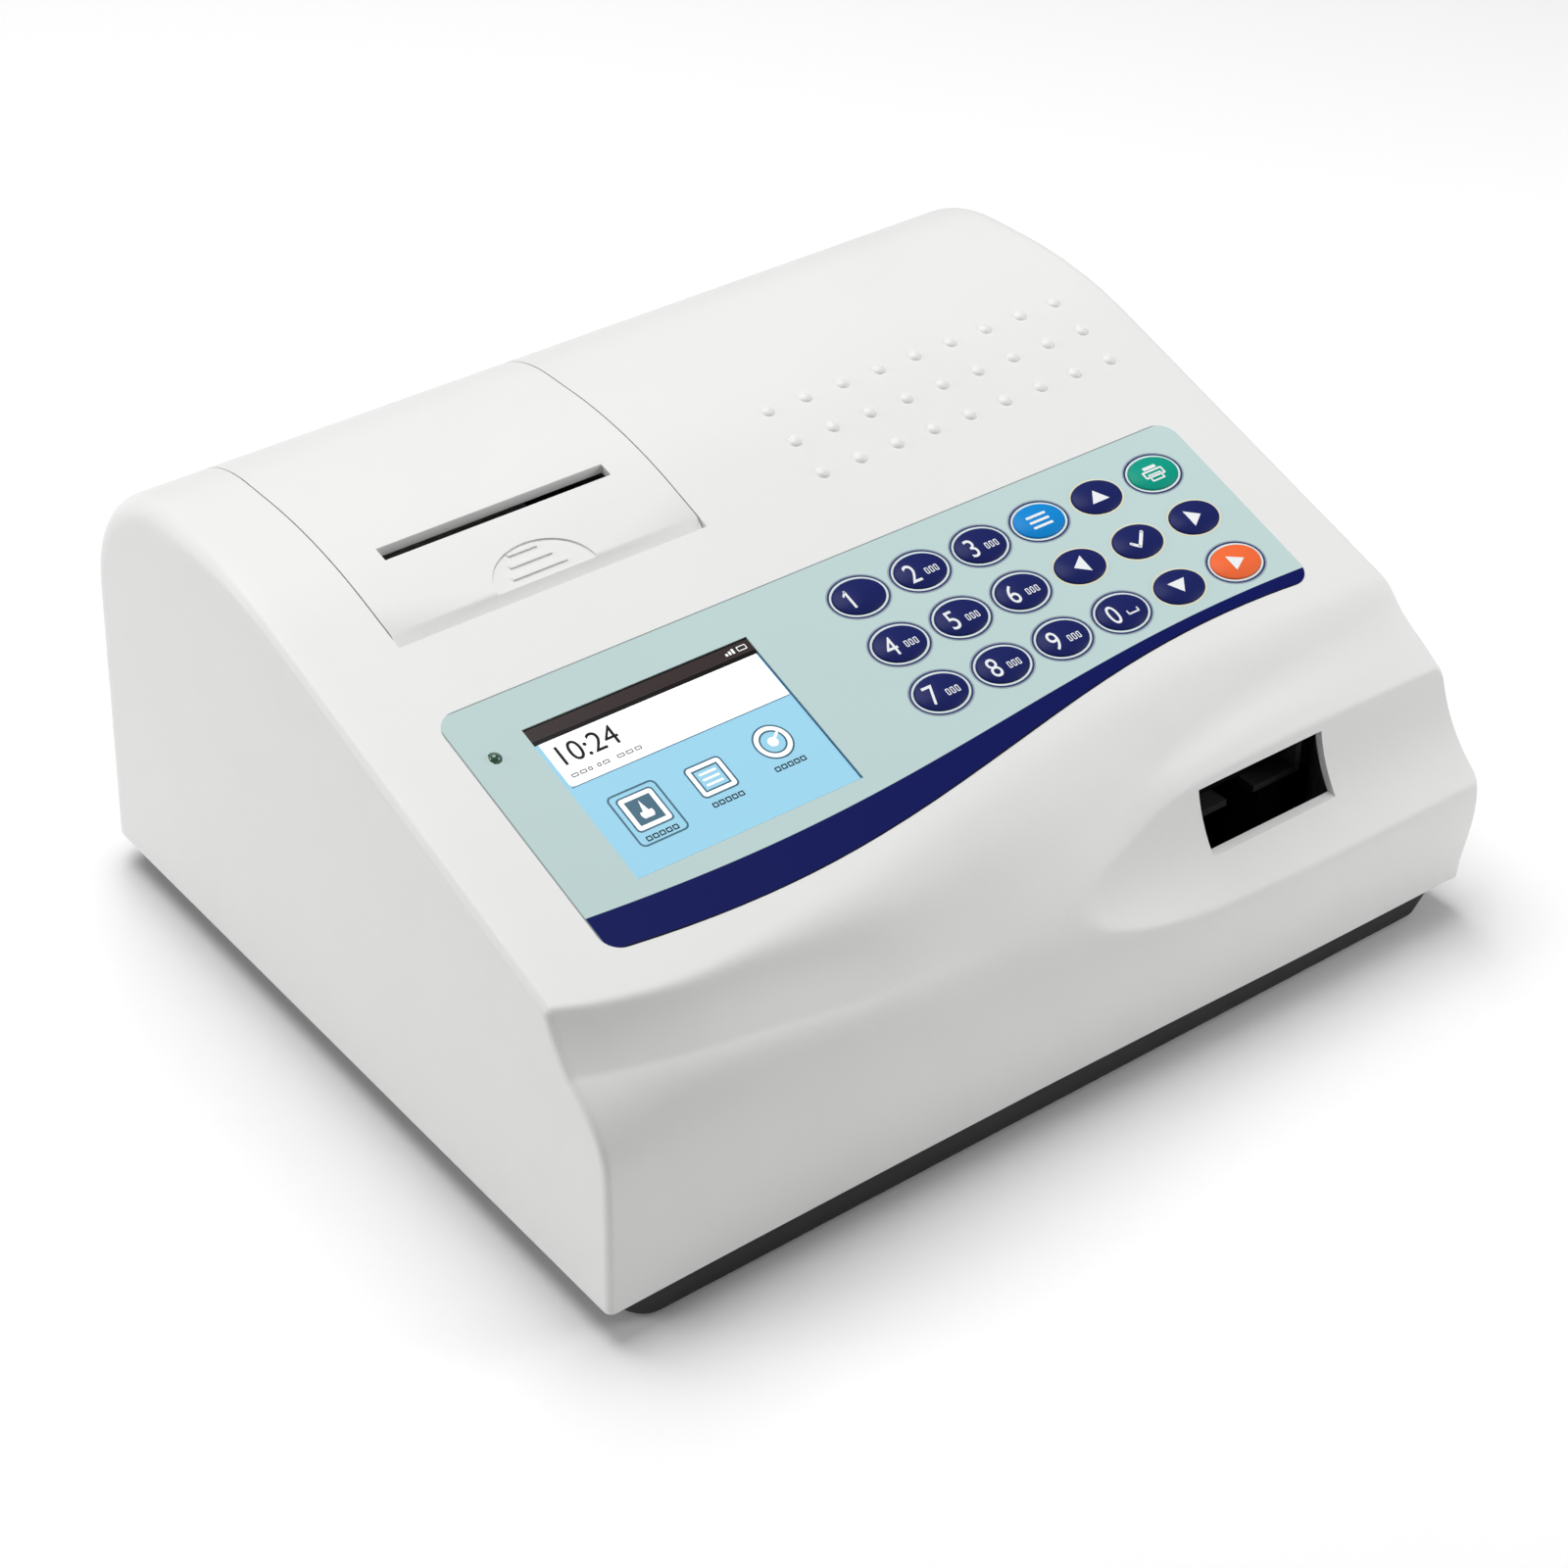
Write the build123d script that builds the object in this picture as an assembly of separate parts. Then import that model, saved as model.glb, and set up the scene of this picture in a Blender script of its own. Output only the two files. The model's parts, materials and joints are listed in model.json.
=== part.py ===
from build123d import *
import os
from dataclasses import dataclass
from math import acos, atan2, cos, degrees, pi, radians, sin, sqrt, tan

# Bench-top analyzer for urine test strips, in millimetres.
# Origin: on the floor, under the middle of the body. +X right, +Y back, +Z up.
# The keypad side, with the strip opening, faces -Y.

# ---------------------------------------------------------------- body
body_width = 294.5            # across the lower rim of the white shell
side_draft = 1.6              # degrees that each side leans in going up
shell_base_z = 11.0           # lower rim of the white shell above the floor
wall = 2.5                    # shell wall
panel_slope = 18.24           # tilt of the keypad panel, degrees
key_one_x, key_one_y, key_one_z = 2.75, -29.4, 112.4   # centre of key 1 on the panel
panel_top_v = 55.7            # up the slope from key 1 to where the roof starts to curve
roof_radius = 150.5           # gentle curve from the panel to the crest
crest_length = 12.0
rear_radius = 42.0            # round from the crest to the rear wall
rear_draft = 2.7              # degrees that the rear wall leans out going down
section_step = 25.0           # spacing of the slices that the front is lofted through

# ---------------------------------------------------------------- scoop round the strip opening
scoop_radius = 43.8
scoop_axis = (-153.4, 81.9)   # y, z of the scoop's axis
scoop_straight_x = 60.0       # left of this the scoop bends away out of the front
scoop_bend_radius = 250.0
scoop_lean = 29.0             # degrees above level that the scoop faces
opening_x = 76.3              # middle of the strip opening
opening_width = 45.0
opening_low, opening_high = 56.0, 73.6

# ---------------------------------------------------------------- overlay and keys
overlay_left, overlay_right, overlay_top = -124.5, 121.6, 15.0   # u, u, v from key 1
overlay_corner = 6.0
overlay_thickness = 0.4
wave_middle, wave_height = -59.7, 9.6     # wavy lower edge: middle v and half height
wave_low_u, wave_half_length = -75.0, 165.0
key_pitch_u, key_pitch_v = 20.93, 18.42
key_half_length, key_half_width = 8.06, 5.87
key_rise = 0.6                # above the overlay
key_travel = 0.5
key_clearance = 0.15
key_flange = 1.0
key_flange_thickness = 0.8
key_rows = (("1", "2", "3", "menu", "up", "print"),
            ("4", "5", "6", "left", "ok", "right"),
            ("7", "8", "9", "0", "down", "start"))
bump_columns, bump_rows, bump_pitch = 9, 3, 13.02
bump_first_u, bump_first_v = 18.2, 41.4
bump_radius, bump_rise = 1.9, 0.9

# ---------------------------------------------------------------- display and panel boards
screen_width, screen_height = 70.08, 52.56
screen_left, screen_top = -105.9, 2.19
module_width, module_height, module_thickness = 76.9, 63.9, 3.3
pane_clearance = 0.35
board_thickness = 1.6
led_u, led_v, led_radius = -116.8, -2.4, 1.75
post_radius, pilot_radius = 3.0, 1.05
board_screw_radius, board_screw_head = 1.0, 2.2
display_board_box = (-122.0, -25.0, -59.0, 10.0)     # u0, u1, v0, v1
keypad_board_box = (-13.5, 119.0, -46.5, 9.5)
switch_side, switch_height, plunger_radius = 6.0, 1.6, 1.6

# ---------------------------------------------------------------- printer
cover_left, cover_right = -116.45, -19.85
cover_front_v, cover_bevel_v = 39.0, 43.6
seam = 0.4
hinge_barrel, hinge_pin_radius = 4.0, 1.5
running_gap = 0.05
hinge_lug = 5.4
pin_length = 15.0
cover_opens = 88.0
slot_front_y, slot_throat, slot_flare, slot_length = 33.7, 4.4, 1.5, 71.0
grip_half_width, grip_height, grip_depth = 15.5, 12.5, 0.5
cover_rib, cover_rib_depth = 1.5, 3.5
bay_wall = 2.0
bay_left, bay_right, bay_front, bay_rear = -110.0, -26.0, 10.0, 111.0
bay_flange = 9.0
mech_floor = 82.0
roll_y, roll_z, roll_radius, roll_width = 82.0, 94.0, 22.0, 57.5
core_radius, spindle_radius, journal_radius = 6.5, 6.2, 3.0
bay_round = 27.0
mech_half_width, plate = 33.0, 1.5
platen_y, platen_z, platen_radius, platen_length = 37.0, 118.0, 6.0, 60.0
platen_shaft_radius = 2.0
printer_module = 0.8
platen_teeth, idler_teeth, pinion_teeth = 20, 24, 12
idler_angle, pinion_angle = 260.0, 200.0
gear_width = 5.0
motor_radius, motor_length = 9.0, 18.0
lever_y, lever_z, lever_reach, lever_swing = 28.0, 100.0, 21.0, 35.0

# ---------------------------------------------------------------- strip transport
tray_width, tray_thickness = 40.0, 7.0
tray_front, tray_length = -98.0, 162.0
tray_travel = 85.0
tray_gap = 0.2
rack_module, tray_pinion_teeth = 1.0, 16
rack_pitch_z = 58.0
rack_width = 8.0
drive_y = -34.0
channel_wall, channel_floor = 2.0, 2.0
channel_front, channel_rear, channel_top = -104.0, 72.0, 76.0
stepper_side, stepper_length, stepper_shaft = 35.0, 22.0, 2.5
optics_front, optics_rear, optics_height = -30.0, 8.0, 18.0
groove_width, groove_depth = 6.2, 1.2

# ---------------------------------------------------------------- base and rear ports
foot_radius, foot_height, foot_recess = 8.0, 3.0, 1.0
base_bottom_z = foot_height - foot_recess
base_wall = 2.5
base_inset, base_slope = 2.5, 6.5          # sides, and how far they lean in below
base_front_inset, base_front_slope = 0.8, 0.8
base_seat = 5.0               # width of the ledge that the shell's rim stands on
base_lip, lip_gap = 5.0, 0.4
boss_radius, boss_top_z = 4.5, 14.0
case_screw_radius, case_screw_head = 1.5, 3.2
boss_left = -body_width / 2 + 14.75        # rows of screw bosses beside the two sides
boss_right = body_width / 2 - 16.25
boss_places = ((boss_left, -86.0), (boss_right, -84.0), (-16.0, -92.0),
               (boss_left, 110.0), (boss_right, 104.0), (0.0, 110.0))
foot_places = ((-118.0, -96.0), (118.0, -96.0), (-118.0, 100.0), (118.0, 100.0))
port_left, port_right, port_low, port_high = 12.0, 128.0, 19.0, 62.0
port_face_y = 121.0
inlet_x, port_z = 104.0, 41.0
inlet_width, inlet_height, inlet_depth = 27.6, 20.0, 20.0
switch_x, rocker_tilt = 72.0, 8.0
serial_x, serial_z, jack_spacing = 36.0, 48.0, 24.99
usb_x, usb_z = 36.0, 29.0
jack_thread_radius, jack_length = 1.4, 5.0
main_board_box = (-126.0, 44.0, -108.0, -2.0)        # x0, x1, y0, y1
power_board_box = (-126.0, -12.0, 8.0, 104.0)
board_post = 6.0


@dataclass(frozen=True)
class FrontSlice:
    """How the front runs at one distance across the body."""
    x: float
    panel_end: float        # v where the flat panel would meet the wall below it
    blend: float            # half length of the rounded edge there
    wall_angle: float       # degrees below level at the top of the wall
    valley_y: float         # bottom of the wall, where the front swells out again
    valley_z: float
    valley_in: float
    valley_out: float
    shoulder_y: float       # where the swelling turns into the upright face
    shoulder_z: float
    shoulder_angle: float
    foot_y: float
    foot_angle: float


front_slices = (
    FrontSlice(-150.0, -72.1, 1.6, 66, -107.2, 75.3, 47, 32, -122.8, 53.4, 87, -123.9, 89),
    FrontSlice(-105.0, -81.5, 2.8, 64, -116.6, 72.5, 50, 37, -124.7, 52.4, 86, -123.4, 90),
    FrontSlice(-59.0, -82.5, 9.0, 62, -119.4, 67.1, 54, 47, -125.4, 50.4, 85, -123.2, 91),
    FrontSlice(-20.0, -77.0, 14.0, 57, -118.4, 64.9, 54, 54, -125.6, 48.4, 83, -123.2, 92),
    FrontSlice(18.0, -70.0, 16.0, 51, -116.4, 65.9, 50, 50, -126.2, 47.9, 81, -123.5, 93),
    FrontSlice(50.0, -65.0, 13.0, 50, -108.4, 76.5, 38, 37, -126.9, 50.4, 78, -123.9, 94),
    FrontSlice(90.0, -62.0, 9.0, 50, -106.4, 78.9, 34, 33, -127.6, 50.4, 77, -124.5, 94),
    FrontSlice(150.0, -62.0, 5.0, 50, -106.4, 78.0, 36, 34, -127.7, 48.4, 76, -124.8, 94),
)

slope = radians(panel_slope)
panel = Plane(origin=(key_one_x, key_one_y, key_one_z), x_dir=(1, 0, 0),
              z_dir=(0, -sin(slope), cos(slope)))
cover_middle = (cover_left + cover_right) / 2
tray_bottom = rack_pitch_z + 1.2 * rack_module
tray_top = tray_bottom + tray_thickness
board_top_h = -wall - 0.3 - module_thickness
keypad_low_h = board_top_h - board_thickness


# ================================================================ small helpers
def on_panel(u, v, h=0.0):
    """Place on the keypad panel: u right, v up the slope, h out of it."""
    return panel.location * Pos(u, v, h)


def box(x0, x1, y0, y1, z0, z1):
    """Block between two corners."""
    return Pos((x0 + x1) / 2, (y0 + y1) / 2, (z0 + z1) / 2) * Box(x1 - x0, y1 - y0, z1 - z0)


def panel_box(u0, u1, v0, v1, h0, h1):
    """Block between two corners, square to the keypad panel."""
    return panel.location * box(u0, u1, v0, v1, h0, h1)


def rod(x0, x1, y, z, radius):
    """Round rod along X."""
    side = Plane(origin=(x0, y, z), x_dir=(0, 1, 0), z_dir=(1, 0, 0))
    return extrude(side * Circle(radius), x1 - x0)


def post(x, y, z0, z1, radius):
    """Upright round post."""
    return Pos(x, y, (z0 + z1) / 2) * Cylinder(radius, z1 - z0)


def side_plate(points, x0, x1):
    """Flat plate between x0 and x1 with the outline given as y, z points."""
    outline = Polyline(*[(x0, y, z) for y, z in points], close=True)
    return extrude(make_face(outline), x1 - x0, dir=(1, 0, 0))


def fuse(pieces):
    """Join several solids."""
    pieces = list(pieces)
    return pieces[0].fuse(*pieces[1:]) if len(pieces) > 1 else pieces[0]


def keep(name, shape):
    """Write one node and note it."""
    export_step(Compound(children=[Solid(s.wrapped) for s in shape.solids()]), f"parts/{name}.step")


# ================================================================ the front
def smooth_value(x, field):
    """Value of one slice dimension at x, on a monotone cubic through the slices."""
    xs = [s.x for s in front_slices]
    ys = [getattr(s, field) for s in front_slices]
    steps = [b - a for a, b in zip(xs, xs[1:])]
    rates = [(b - a) / h for a, b, h in zip(ys, ys[1:], steps)]
    slopes = [rates[0]]
    for r0, r1 in zip(rates, rates[1:]):
        slopes.append(0.0 if r0 * r1 <= 0 else 2 * r0 * r1 / (r0 + r1))
    slopes.append(rates[-1])
    i = max(k for k in range(len(steps)) if k == 0 or xs[k] <= x)
    t = (x - xs[i]) / steps[i]
    return ((2 * t**3 - 3 * t**2 + 1) * ys[i] + (t**3 - 2 * t**2 + t) * steps[i] * slopes[i]
            + (3 * t**2 - 2 * t**3) * ys[i + 1] + (t**3 - t**2) * steps[i] * slopes[i + 1])


def slice_at(x):
    """The front slice at any x."""
    fields = list(FrontSlice.__dataclass_fields__)[1:]
    return FrontSlice(x, *[smooth_value(x, f) for f in fields])


def heading(angle):
    """Unit y, z direction forward and down by the angle."""
    return -cos(radians(angle)), -sin(radians(angle))


def inset(point, before, after, depth):
    """Point moved into the body by depth where two directions meet."""
    a = (sin(radians(before)), -cos(radians(before)))
    b = (sin(radians(after)), -cos(radians(after)))
    k = depth / (1 + a[0] * b[0] + a[1] * b[1])
    return point[0] + k * (a[0] + b[0]), point[1] + k * (a[1] + b[1])


def panel_point(v, depth=0.0):
    """y, z of a point on the panel, or under it by depth."""
    return (key_one_y + v * cos(slope) + depth * sin(slope),
            key_one_z + v * sin(slope) - depth * cos(slope))


def bend(x, start, start_angle, end, end_angle, reach=0.36):
    """Smooth edge between two points that leaves and arrives at the given angles."""
    span = reach * sqrt((end[0] - start[0]) ** 2 + (end[1] - start[1]) ** 2)
    a, b = heading(start_angle), heading(end_angle)
    points = (start, (start[0] + a[0] * span, start[1] + a[1] * span),
              (end[0] - b[0] * span, end[1] - b[1] * span), end)
    return Bezier(*[(x, y, z) for y, z in points])


def roof_points(depth=0.0):
    """y, z of the roof's turning points: panel top, middle, crest, middle, rear top."""
    start = panel_point(panel_top_v, depth)
    r1, r2 = roof_radius - depth, rear_radius - depth
    centre = (start[0] + r1 * sin(slope), start[1] - r1 * cos(slope))
    crest = (centre[0], centre[1] + r1)
    crest_end = (crest[0] + crest_length, crest[1])
    rear = (crest_end[0], crest_end[1] - r2)
    turn = radians(90 - rear_draft)
    return (start, (centre[0] - r1 * sin(slope / 2), centre[1] + r1 * cos(slope / 2)), crest,
            crest_end, (rear[0] + r2 * sin(turn / 2), rear[1] + r2 * cos(turn / 2)),
            (rear[0] + r2 * sin(turn), rear[1] + r2 * cos(turn)))


def rear_wall_y(z, depth=0.0):
    """y of the rear wall at a height below the rear round."""
    top = roof_points(depth)[5]
    return top[0] + (top[1] - z) * tan(radians(rear_draft))


def body_slice(x, depth):
    """Closed outline of the body across X, set in by depth."""
    s = slice_at(x)
    edge = panel_point(s.panel_end + s.blend, depth)
    corner, down = panel_point(s.panel_end), heading(s.wall_angle)
    wall_top = inset((corner[0] + down[0] * s.blend, corner[1] + down[1] * s.blend),
                     s.wall_angle, s.wall_angle, depth)
    valley = inset((s.valley_y, s.valley_z), s.valley_in, s.valley_out, depth)
    shoulder = inset((s.shoulder_y, s.shoulder_z), s.shoulder_angle, s.shoulder_angle, depth)
    foot = (s.foot_y + depth, shell_base_z)
    start, roof_mid, crest, crest_end, rear_mid, rear_top = roof_points(depth)
    rear_foot = (rear_wall_y(shell_base_z, depth), shell_base_z)
    at = lambda p: (x, p[0], p[1])
    return Face(Wire([
        bend(x, edge, panel_slope, wall_top, s.wall_angle, 0.45),
        bend(x, wall_top, s.wall_angle, valley, s.valley_in),
        bend(x, valley, s.valley_out, shoulder, s.shoulder_angle),
        bend(x, shoulder, s.shoulder_angle, foot, s.foot_angle),
        Line(at(foot), at(rear_foot)),
        Line(at(rear_foot), at(rear_top)),
        ThreePointArc(at(rear_top), at(rear_mid), at(crest_end)),
        Line(at(crest_end), at(crest)),
        ThreePointArc(at(crest), at(roof_mid), at(start)),
        Line(at(start), at(edge)),
    ]))


def side_taper(depth):
    """Tall wedge that leans the two sides in."""
    height = 150.0
    low = Plane.XY.offset(shell_base_z) * Rectangle(body_width - 2 * depth, 3 * height)
    lean = 2 * height * tan(radians(side_draft))
    high = Plane.XY.offset(shell_base_z + height) * Rectangle(
        body_width - 2 * depth - lean, 3 * height)
    return loft([low.face(), high.face()])


def scoop(depth):
    """Cutter for the hollow round the strip opening, grown by depth."""
    out = (-cos(radians(scoop_lean)), sin(radians(scoop_lean)))
    start = Plane(origin=(scoop_straight_x, *scoop_axis), x_dir=(0, 1, 0), z_dir=(1, 0, 0))
    ring = start * Circle(scoop_radius + depth)
    pivot = (scoop_straight_x, scoop_axis[0] + out[0] * scoop_bend_radius,
             scoop_axis[1] + out[1] * scoop_bend_radius)
    bent = revolve(ring, Axis(pivot, (0, out[1], -out[0])), 20)
    return extrude(ring, body_width / 2 - scoop_straight_x + 5) + bent


def body_solid(depth):
    """The whole body as a solid, set in by depth."""
    half = body_width / 2 + 3
    count = round(2 * half / section_step)
    places = [-half + 2 * half * i / count for i in range(count + 1)]
    return (loft([body_slice(x, depth) for x in places]) & side_taper(depth)) - scoop(depth)


def roof_band(depth_a, depth_b, x0, x1, y0, y1, z0=0.0):
    """Curved strip under the roof between two depths, between y0 and y1 and above z0."""
    def under(depth):
        start, mid, crest, crest_end, rear_mid, rear_top = roof_points(depth)
        edge, low_y = panel_point(-20.0, depth), rear_wall_y(z0, depth)
        at = lambda p: (x0, p[0], p[1])
        outline = Wire([Line(at(edge), at(start)), ThreePointArc(at(start), at(mid), at(crest)),
                        Line(at(crest), at(crest_end)),
                        ThreePointArc(at(crest_end), at(rear_mid), at(rear_top)),
                        Line(at(rear_top), (x0, low_y, z0)), Line((x0, low_y, z0), (x0, edge[0], z0)),
                        Line((x0, edge[0], z0), at(edge))])
        return extrude(Face(outline), x1 - x0, dir=(1, 0, 0))
    return (under(depth_a) - under(depth_b)) & box(x0 - 1, x1 + 1, y0, y1, z0, 200)


# ================================================================ panel pieces
def wave_v(u):
    """v of the overlay's wavy lower edge."""
    return wave_middle - wave_height * cos(pi * (u - wave_low_u) / wave_half_length)


def overlay_outline():
    """Flat outline of the overlay, with round corners, on the XY plane."""
    spans = 8
    us = [overlay_left + (overlay_right - overlay_left) * i / spans for i in range(spans + 1)]
    wave = Spline(*[(u, wave_v(u)) for u in us])
    top_right, top_left = (overlay_right, overlay_top), (overlay_left, overlay_top)
    edges = [wave, Line(wave @ 1, top_right), Line(top_right, top_left), Line(top_left, wave @ 0)]
    return fillet(make_face(edges).vertices(), overlay_corner)


def key_places():
    """Name and u, v of each key."""
    return [(name, column * key_pitch_u, -row * key_pitch_v)
            for row, names in enumerate(key_rows) for column, name in enumerate(names)]


def key_holes(gap, h0, h1):
    """Oval cutters for all the keys."""
    hole = extrude(Ellipse(key_half_length + gap, key_half_width + gap), h1 - h0)
    return [on_panel(u, v, h0) * hole for _, u, v in key_places()]


def screen_box(gap, h0, h1):
    """Block the size of the screen, grown by gap."""
    return panel_box(screen_left - gap, screen_left + screen_width + gap,
                     screen_top - screen_height - gap, screen_top + gap, h0, h1)


def make_key(u, v):
    """Oval key with a crowned rim, a retaining flange and a stub that meets its switch."""
    low = -wall - key_clearance
    cap = extrude(Ellipse(key_half_length, key_half_width), key_rise - low)
    cap = chamfer(cap.faces().sort_by(Axis.Z)[-1].edges(), key_rise / 2)
    flange = Pos(0, 0, -key_flange_thickness) * extrude(
        Ellipse(key_half_length + key_flange, key_half_width + key_flange), key_flange_thickness)
    stub_end = low - key_flange_thickness - 0.2
    stub = Pos(0, 0, stub_end - low) * extrude(Circle(plunger_radius + 0.4), 0.3)
    return on_panel(u, v, low) * fuse([cap, flange, stub])


def switch_top_h():
    """Height of a keypad switch's plunger."""
    return -wall - key_clearance - key_flange_thickness - 0.2 - key_travel - 0.05


def make_tact_switches():
    """One low switch under each key."""
    body_h = switch_top_h() - 0.3 - board_top_h
    return fuse_all([on_panel(u, v, board_top_h) * (
        extrude(Rectangle(switch_side, switch_side), body_h)
        + Pos(0, 0, body_h) * extrude(Circle(plunger_radius), 0.3)) for _, u, v in key_places()])


def fuse_all(shapes):
    """Several separate solids as one group."""
    return Compound(children=[Solid(s.wrapped) for shape in shapes for s in shape.solids()])


def board_corners(limits, margin=3.5):
    """Screw places of a rectangular board."""
    u0, u1, v0, v1 = limits
    return [(u, v) for u in (u0 + margin, u1 - margin) for v in (v0 + margin, v1 - margin)]


def panel_posts():
    """Posts under the panel that carry the two panel boards, each with a pilot hole."""
    posts, holes = [], []
    length = -wall - board_top_h
    for u, v in board_corners(display_board_box) + board_corners(keypad_board_box):
        at = on_panel(u, v, board_top_h)
        posts.append(at * extrude(Circle(post_radius), length + 0.5))
        holes.append(at * extrude(Circle(pilot_radius), length - 0.4))
    return posts, holes


def make_panel_board(limits):
    """Circuit board under the panel with four screw holes."""
    u0, u1, v0, v1 = limits
    sheet = panel_box(u0, u1, v0, v1, keypad_low_h, board_top_h)
    holes = [on_panel(u, v, keypad_low_h - 1) * extrude(Circle(pilot_radius + 0.1), 4)
             for u, v in board_corners(limits)]
    return sheet - holes


def make_keypad_board():
    """Keypad board with its ribbon socket and driver chip underneath."""
    u0, _, v0, _ = keypad_board_box
    return fuse([make_panel_board(keypad_board_box),
                 panel_box(u0 + 2, u0 + 7, v0 + 14, v0 + 38, keypad_low_h - 4, keypad_low_h),
                 panel_box(u0 + 14, u0 + 24, v0 + 20, v0 + 30, keypad_low_h - 1.5, keypad_low_h)])


def make_display_board():
    """Display board with its ribbon socket and controller underneath."""
    _, u1, v0, _ = display_board_box
    return fuse([make_panel_board(display_board_box),
                 panel_box(u1 - 8, u1 - 3, v0 + 16, v0 + 48, keypad_low_h - 4, keypad_low_h),
                 panel_box(u1 - 44, u1 - 30, v0 + 26, v0 + 40, keypad_low_h - 1.6, keypad_low_h)])


def make_board_screws():
    """Pan-head screws of the two panel boards."""
    screws = []
    for u, v in board_corners(display_board_box) + board_corners(keypad_board_box):
        at = on_panel(u, v, keypad_low_h)
        screws.append(at * (Pos(0, 0, -1.3) * extrude(Circle(board_screw_head), 1.3)
                            + extrude(Circle(board_screw_radius), board_thickness + 2.4)))
    return fuse_all(screws)


def make_display_module():
    """Display: glass in a thin metal frame."""
    u, v = screen_left + screen_width / 2, screen_top - screen_height / 2
    du, dv = module_width / 2, module_height / 2
    body = panel_box(u - du, u + du, v - dv, v + dv, board_top_h, -wall - 0.3)
    rim = panel_box(u - du, u + du, v - dv, v + dv, -wall - 0.3, -wall) - screen_box(1.2, -9, 9)
    return fuse([body, rim])


def make_status_led():
    """Round lamp with a flange and two legs down to the display board."""
    flange_h = -wall - 1.1
    body = extrude(Circle(led_radius), -flange_h - 0.6)
    dome = Pos(0, 0, -flange_h - 0.6) * (Sphere(led_radius) & Pos(0, 0, 2) * Box(9, 9, 4))
    flange = extrude(Circle(led_radius + 0.5), 0.8)
    legs = [Pos(side, 0, (board_top_h - flange_h) / 2) * Box(0.6, 0.6, flange_h - board_top_h)
            for side in (-0.8, 0.8)]
    return on_panel(led_u, led_v, flange_h) * fuse([body, dome, flange, *legs])


# ================================================================ printer pieces
def hinge_place():
    """y, z of the cover's hinge axis."""
    top = roof_points()[5]
    z = top[1] - 2.0
    return rear_wall_y(z) - hinge_barrel - 0.1, z


def cover_outline(gap):
    """Block that the printer cover fills, shrunk by gap at its sides and front."""
    front = panel_point(cover_front_v + gap)[0]
    return box(cover_left + gap, cover_right - gap, front, 200, hinge_place()[1], 200)


def make_printer_cover():
    """Curved cover over the printer, with paper slot, thumb grip, ribs and hinge barrel."""
    hy, hz = hinge_place()
    x0, x1 = cover_left + seam, cover_right - seam
    front = panel_point(cover_front_v + seam)[0]
    shell = roof_band(0, wall, x0, x1, front, 200, hz)
    a, b = cover_bevel_v, cover_front_v
    bevel = side_plate([panel_point(a), panel_point(b - 2), panel_point(b - 2, wall),
                        panel_point(b + seam, wall - 0.4)], x0 - 1, x1 + 1)
    bevel = bevel - side_plate([panel_point(a), panel_point(b + seam, wall - 0.4),
                                panel_point(b + seam, wall + 2), panel_point(a, wall + 2)],
                               x0 - 2, x1 + 2)
    ribs = [roof_band(wall - 0.1, wall + cover_rib_depth, x - cover_rib / 2, x + cover_rib / 2,
                      slot_front_y + 18, hy - 14, hz)
            for x in (cover_middle - 30, cover_middle, cover_middle + 30)]
    barrel = rod(x0 + hinge_lug + seam, x1 - hinge_lug - seam, hy, hz, hinge_barrel)
    cover = fuse([shell - bevel, *ribs, barrel])
    lug_space = hinge_lug + seam
    cuts = [rod(x0 - 1, x0 + lug_space, hy, hz, hinge_barrel + 0.3),
            rod(x1 - lug_space, x1 + 1, hy, hz, hinge_barrel + 0.3),
            rod(x0 - 1, x0 + pin_length + 1, hy, hz, hinge_pin_radius + running_gap),
            rod(x1 - pin_length - 1, x1 + 1, hy, hz, hinge_pin_radius + running_gap)]
    half = slot_length / 2
    back = slot_front_y + slot_throat
    top_z = panel_point((back - key_one_y) / cos(slope))[1]
    slot = side_plate([(slot_front_y, 100), (back, 100), (back, top_z - wall / 2),
                       (back + slot_flare, top_z + 1.5), (back + slot_flare, 150),
                       (slot_front_y, 150)], cover_middle - half, cover_middle + half)
    return cover - cuts - slot - make_grip_cut()


def make_grip_cut():
    """Half-moon thumb recess at the cover's front edge, with three ridges left standing."""
    u = cover_middle - key_one_x
    moon = Ellipse(grip_half_width, grip_height) & Pos(0, grip_height / 2) * Rectangle(
        4 * grip_half_width, grip_height)
    ridges = [Pos(-1.5 + 0.4 * i, 3.0 + 3.8 * (2 - i)) * Rectangle(9.0 + 4.0 * i, 0.9)
              for i in range(3)]
    return on_panel(u, cover_bevel_v - 0.5, -grip_depth) * extrude(moon - ridges, grip_depth + 1)


def make_hinge_pins():
    """Two steel pins that carry the cover."""
    hy, hz = hinge_place()
    return fuse_all([rod(cover_left + 0.5, cover_left + pin_length, hy, hz, hinge_pin_radius),
                     rod(cover_right - pin_length, cover_right - 0.5, hy, hz, hinge_pin_radius)])


def hinge_lugs():
    """Two ears in the shell that hold the pins, set in so that the open cover clears them."""
    hy, hz = hinge_place()
    ears = []
    for x0, x1 in ((cover_left, cover_left + hinge_lug), (cover_right - hinge_lug, cover_right)):
        ear = rod(x0, x1, hy, hz, hinge_barrel - 0.1)
        web = box(x0, x1, hy - hinge_barrel + 0.1, hy - 0.8, hz - 12, hz)
        foot = box(x0, x1, hy - hinge_barrel + 0.1, rear_wall_y(hz) - 0.5,
                   hz - 12, hz - hinge_barrel - 0.6)
        ears.append(fuse([ear, web, foot]) - rod(x0 - 1, x1 + 1, hy, hz, hinge_pin_radius))
    return ears


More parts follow.
